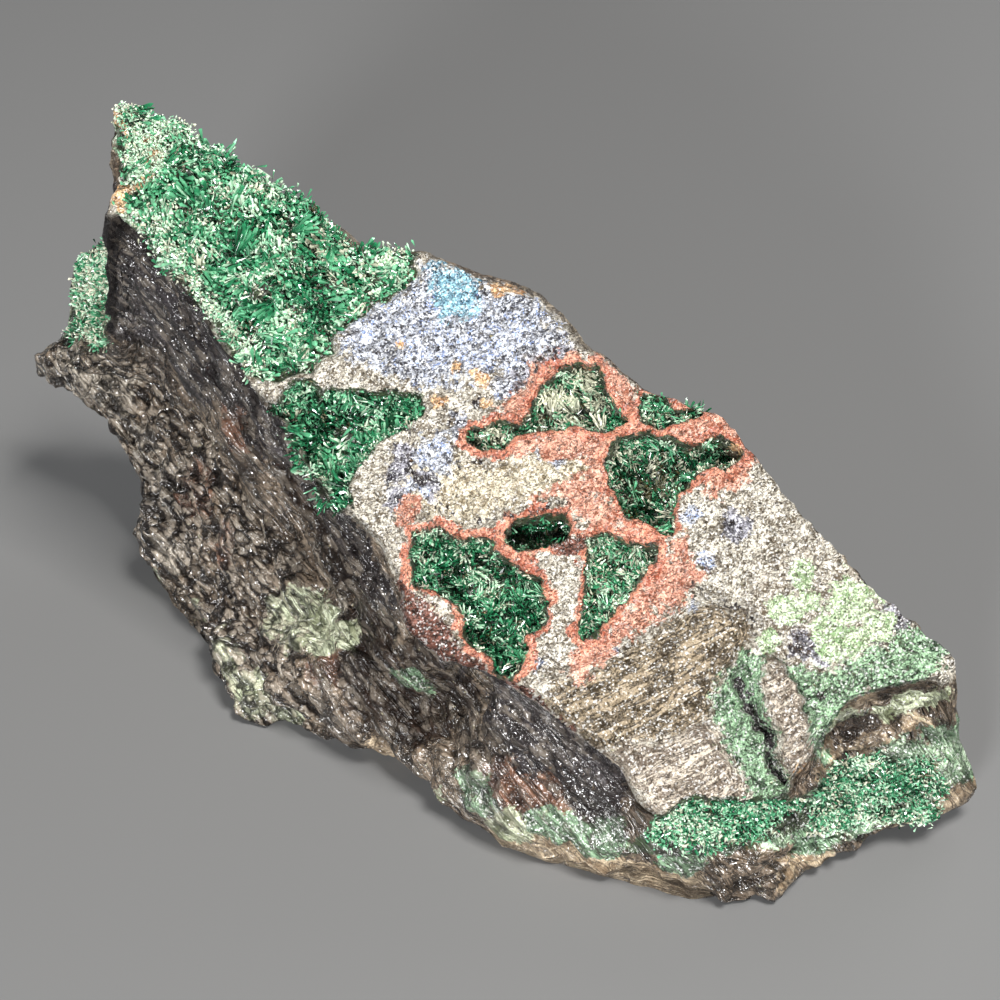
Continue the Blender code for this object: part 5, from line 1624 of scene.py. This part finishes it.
def fringe(count, each, tint, pale):
    """Short bright crystals along the edge of a hollow."""
    return ("edge", count, each, (0.3, 0.9), (0.14, 0.26), 0.6, 0.25, 0.6, tint, pale)


print("a felt:", felt(100, 8, (0.0, 1.0), 0.1))

# %% Crystals of each crust
KINDS = {
    "crust_vug_west": [felt(680, 9, (-0.1, 0.5), 0.15), needles(150, 13, (0.1, 0.6), 0.05),
                       needles(110, 9, (0.6, 1.0), 0.1), fringe(300, 7, (0.35, 1.0), 0.15)],
    "crust_vug_slit": [felt(150, 8, (-0.1, 0.3), 0.1), fringe(60, 6, (0.1, 0.7), 0.1)],
    "crust_vug_wedge": [felt(400, 8, (-0.1, 0.6), 0.25), needles(80, 10, (0.2, 0.8), 0.15),
                        needles(40, 8, (0.7, 1.0), 0.2), fringe(220, 7, (0.4, 1.0), 0.2)],
    "crust_vug_main": [felt(680, 9, (-0.1, 0.5), 0.35), needles(140, 12, (0.1, 0.6), 0.3),
                       needles(110, 8, (0.7, 1.0), 0.4), fringe(300, 7, (0.3, 1.0), 0.3)],
    "crust_vug_north": [felt(380, 9, (0.0, 0.8), 0.45), needles(110, 14, (0.5, 1.0), 0.55, (1.4, 3.0)),
                        fringe(180, 7, (0.4, 1.0), 0.4)],
    "crust_vug_northeast": [felt(170, 9, (0.1, 0.7), 0.2), needles(60, 12, (0.4, 1.0), 0.2),
                            fringe(80, 7, (0.3, 1.0), 0.2)],
    "druse_edge_notch": [felt(520, 9, (-0.1, 0.45), 0.05), needles(150, 12, (0.1, 0.7), 0.05, (1.2, 2.8)),
                         ("any", 120, 13, (1.0, 2.6), (0.22, 0.46), 0.14, 0.4, 1.3, (0.25, 0.95), 0.05),
                         fringe(260, 7, (0.3, 0.9), 0.1)],
    "druse_peak_face": [("tip", 520, 8, (0.1, 0.4), (0.18, 0.36), 1.0, 0.4, 0.6, (0.75, 1.1), 0.15),
                        ("open", 560, 9, (0.2, 0.9), (0.16, 0.34), 1.0, 0.35, 0.8, (0.05, 0.75), 0.14),
                        ("open", 380, 12, (0.8, 2.4), (0.26, 0.56), 0.13, 0.5, 1.5, (0.25, 0.8), 0.06),
                        ("open", 240, 12, (0.6, 2.0), (0.18, 0.42), 0.4, 0.25, 1.2, (0.5, 1.0), 0.12),
                        ("open", 330, 8, (0.1, 0.5), (0.18, 0.36), 1.0, 0.5, 0.6, (0.7, 1.0), 0.35)],
    "crust_front_seam": [("any", 420, 8, (0.3, 0.9), (0.14, 0.32), 1.0, 0.3, 0.7, (0.15, 0.85), 0.1),
                         ("any", 200, 7, (0.2, 0.5), (0.16, 0.34), 1.0, 0.4, 0.6, (0.7, 1.0), 0.2)],
    "crust_end_slope": [("any", 880, 8, (0.25, 0.8), (0.14, 0.32), 1.0, 0.3, 0.7, (0.1, 0.8), 0.1),
                        ("any", 560, 7, (0.2, 0.5), (0.16, 0.34), 1.0, 0.4, 0.6, (0.7, 1.0), 0.2)],
    "crust_left_ledge": [("any", 700, 9, (0.3, 1.0), (0.16, 0.36), 1.0, 0.5, 0.8, (0.45, 1.05), 0.30),
                         ("any", 330, 12, (0.8, 1.9), (0.16, 0.36), 0.6, 0.3, 0.8, (0.2, 0.9), 0.2)],
}
print("sprays of all crusts:", sum(kind[1] for kinds in KINDS.values() for kind in kinds))

# %% Fans
# Place on the slope, direction in its frame, how many blades, length, width, spread, tint and paleness.
FANS = {
    "crust_vug_north": [((5.6, 9.2), (0.1, 0.9, 0.45), 70, 3.4, 0.22, 0.24, 0.9, 0.9),
                        ((8.0, 9.6), (-0.4, 0.8, 0.45), 40, 2.6, 0.2, 0.22, 0.8, 0.8)],
    "crust_vug_northeast": [((16.6, 9.4), (0.6, 0.5, 0.5), 30, 2.4, 0.22, 0.2, 0.55, 0.0)],
    "crust_vug_west": [((-3.4, -7.0), (0.7, -0.3, 0.5), 34, 2.6, 0.24, 0.25, 0.9, 0.1),
                       ((2.0, -10.4), (-0.2, 0.7, 0.5), 30, 2.4, 0.24, 0.25, 0.5, 0.0),
                       ((0.6, -16.4), (0.4, 0.6, 0.5), 36, 2.0, 0.24, 0.4, 0.72, 0.0)],
    "crust_vug_main": [((13.6, 5.0), (0.2, 0.5, 0.6), 40, 2.2, 0.2, 0.3, 0.8, 0.6)],
    "druse_edge_notch": [((-16.0, 9.6), (0.35, 0.85, 0.5), 46, 4.2, 0.42, 0.16, 0.42, 0.0),
                         ((-13.6, 8.2), (0.9, 0.1, 0.4), 30, 3.2, 0.36, 0.16, 0.34, 0.0),
                         ((-19.2, 6.0), (0.5, -0.5, 0.6), 30, 3.0, 0.34, 0.2, 0.5, 0.0),
                         ((-16.6, 2.0), (0.1, -0.4, 0.7), 26, 2.6, 0.34, 0.25, 0.3, 0.0)],
    "druse_peak_face": [((-32.2, 32.1), (-0.7, 0.5, 0.4), 60, 3.6, 0.42, 0.16, 0.38, 0.0),
                        ((-27.9, 26.7), (0.4, 0.7, 0.4), 60, 3.6, 0.42, 0.16, 0.36, 0.0),
                        ((-22.1, 28.8), (0.8, 0.3, 0.4), 50, 3.4, 0.40, 0.16, 0.42, 0.0),
                        ((-31.6, 25.0), (0.6, -0.5, 0.4), 50, 3.4, 0.40, 0.16, 0.46, 0.0),
                        ((-17.9, 27.7), (0.2, -0.8, 0.4), 50, 3.2, 0.40, 0.16, 0.5, 0.0),
                        ((-23.6, 21.2), (-0.6, -0.6, 0.4), 60, 3.8, 0.42, 0.16, 0.36, 0.0),
                        ((-26.0, 17.6), (0.9, -0.1, 0.3), 60, 3.6, 0.34, 0.14, 0.6, 0.0),
                        ((-23.0, 15.4), (0.95, 0.1, 0.3), 50, 3.4, 0.34, 0.14, 0.7, 0.0),
                        ((-12.6, 24.6), (0.4, 0.5, 0.5), 40, 2.6, 0.36, 0.18, 0.85, 0.3)],
}
print("fans:", sum(len(fans) for fans in FANS.values()))

# %% Zones and limits
# How high over its slope a crust's tips may reach, where that isn't the usual height.
LIMITS = {"druse_peak_face": 0.4, "druse_edge_notch": 0.4, "crust_end_slope": 0.8, "crust_left_ledge": 0.9}
USUAL_LIMIT = 0.15
TIP_SOFTNESS = 1.2
OCHRE_BARENESS = 0.85
TIP_BARENESS = 0.9

tip_zone = np.maximum(region(MINT_TIP, TIP_SOFTNESS), region(PALE_EDGE, TIP_SOFTNESS))
bare = 1.0 - OCHRE_BARENESS * masks["ochre"]
zones = {"tip": tip_zone, "open": (1.0 - TIP_BARENESS * tip_zone) * bare, "any": bare, "edge": 1.0}
print("pale zone covers", round(float((tip_zone > 0.5).mean()), 3))

# %% [markdown]
# The blades of one crust become one mesh, which stands for the plain solid of the same name. Their tint
# follows slow waves, so that neighbours match, and varies a little from blade to blade.

# %% One crust
TINT_WAVE = (2.6, 0.32)
TINT_SCATTER = 0.14
STRAW_PALENESS = 0.9
FAN_SCATTER = 0.22
FAN_TINT_SCATTER = 0.12
FAN_LENGTHS = (0.55, 1.0)
FAN_WIDTHS = (0.6, 1.1)
# A fan starts at the point nearest to its place, and a point off the crystals counts as this much further.
ON_SITE, OFF_SITE = 0.3, 9.0


def crust(name, slope, seed):
    """One crust: all its sprays and fans in one mesh."""
    chance = np.random.default_rng(seed)
    limit = LIMITS.get(name, USUAL_LIMIT)
    points, tints, pales = [], [], []
    for zone, count, each, length, width, spread, scatter, lean, tint_range, pale in KINDS[name]:
        weight = (site_edge if zone == "edge" else site_weight)[name] * zones[zone]
        foot, ahead, reach, thick, spray = sprays(weight, slope, limit, count, each, length, width,
                                                  spread, scatter, lean, chance)
        points.append(blades(foot, ahead, reach, thick, chance))
        base = chance.uniform(*tint_range, count)[spray] + TINT_WAVE[1] * wave_noise(foot, TINT_WAVE[0], seed)
        tints.append(np.clip(base + chance.normal(size=len(base)) * TINT_SCATTER, 0.0, 1.0))
        pales.append(np.where(chance.random(count)[spray] < pale, STRAW_PALENESS, 0.0))
    for centre, toward, number, length, width, spread, tint_here, pale_here in FANS.get(name, []):
        away = np.linalg.norm(into_slope(flat_points, slope)[:, :2] - centre, axis=-1)
        middle = np.argmin(away + OFF_SITE * (site_weight[name].ravel() < ON_SITE))
        ahead = unit(np.array(toward) @ slope[1] + spread * chance.normal(size=(number, 3)))
        foot = flat_points[middle] + chance.normal(size=(number, 3)) * FAN_SCATTER
        points.append(blades(foot, ahead, length * chance.uniform(*FAN_LENGTHS, number),
                             width * chance.uniform(*FAN_WIDTHS, number), chance))
        tints.append(np.clip(tint_here + FAN_TINT_SCATTER * chance.normal(size=number), 0.0, 1.0))
        pales.append(np.full(number, pale_here))
    points = np.concatenate(points)
    values = {"tint": np.repeat(np.concatenate(tints), BLADE_POINTS),
              "along": np.tile(BLADE_ALONG, len(points)),
              "pale": np.repeat(np.concatenate(pales), BLADE_POINTS)}
    made = fill_mesh(name + "_crystals", points.reshape(-1, 3), blade_faces(len(points)), values,
                     crystal_finish, False)
    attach(made, "root")
    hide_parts(name)
    print(made.name, "blades:", len(points))
    return len(points)


# %% Grow the crusts
FIRST_SEED = 100

blade_count = sum(crust(name, slope, FIRST_SEED + step) for step, (name, _, _, slope, *_) in enumerate(SITES))
print("triangles of all crystals:", blade_count * len(BLADE_TRIANGLES))
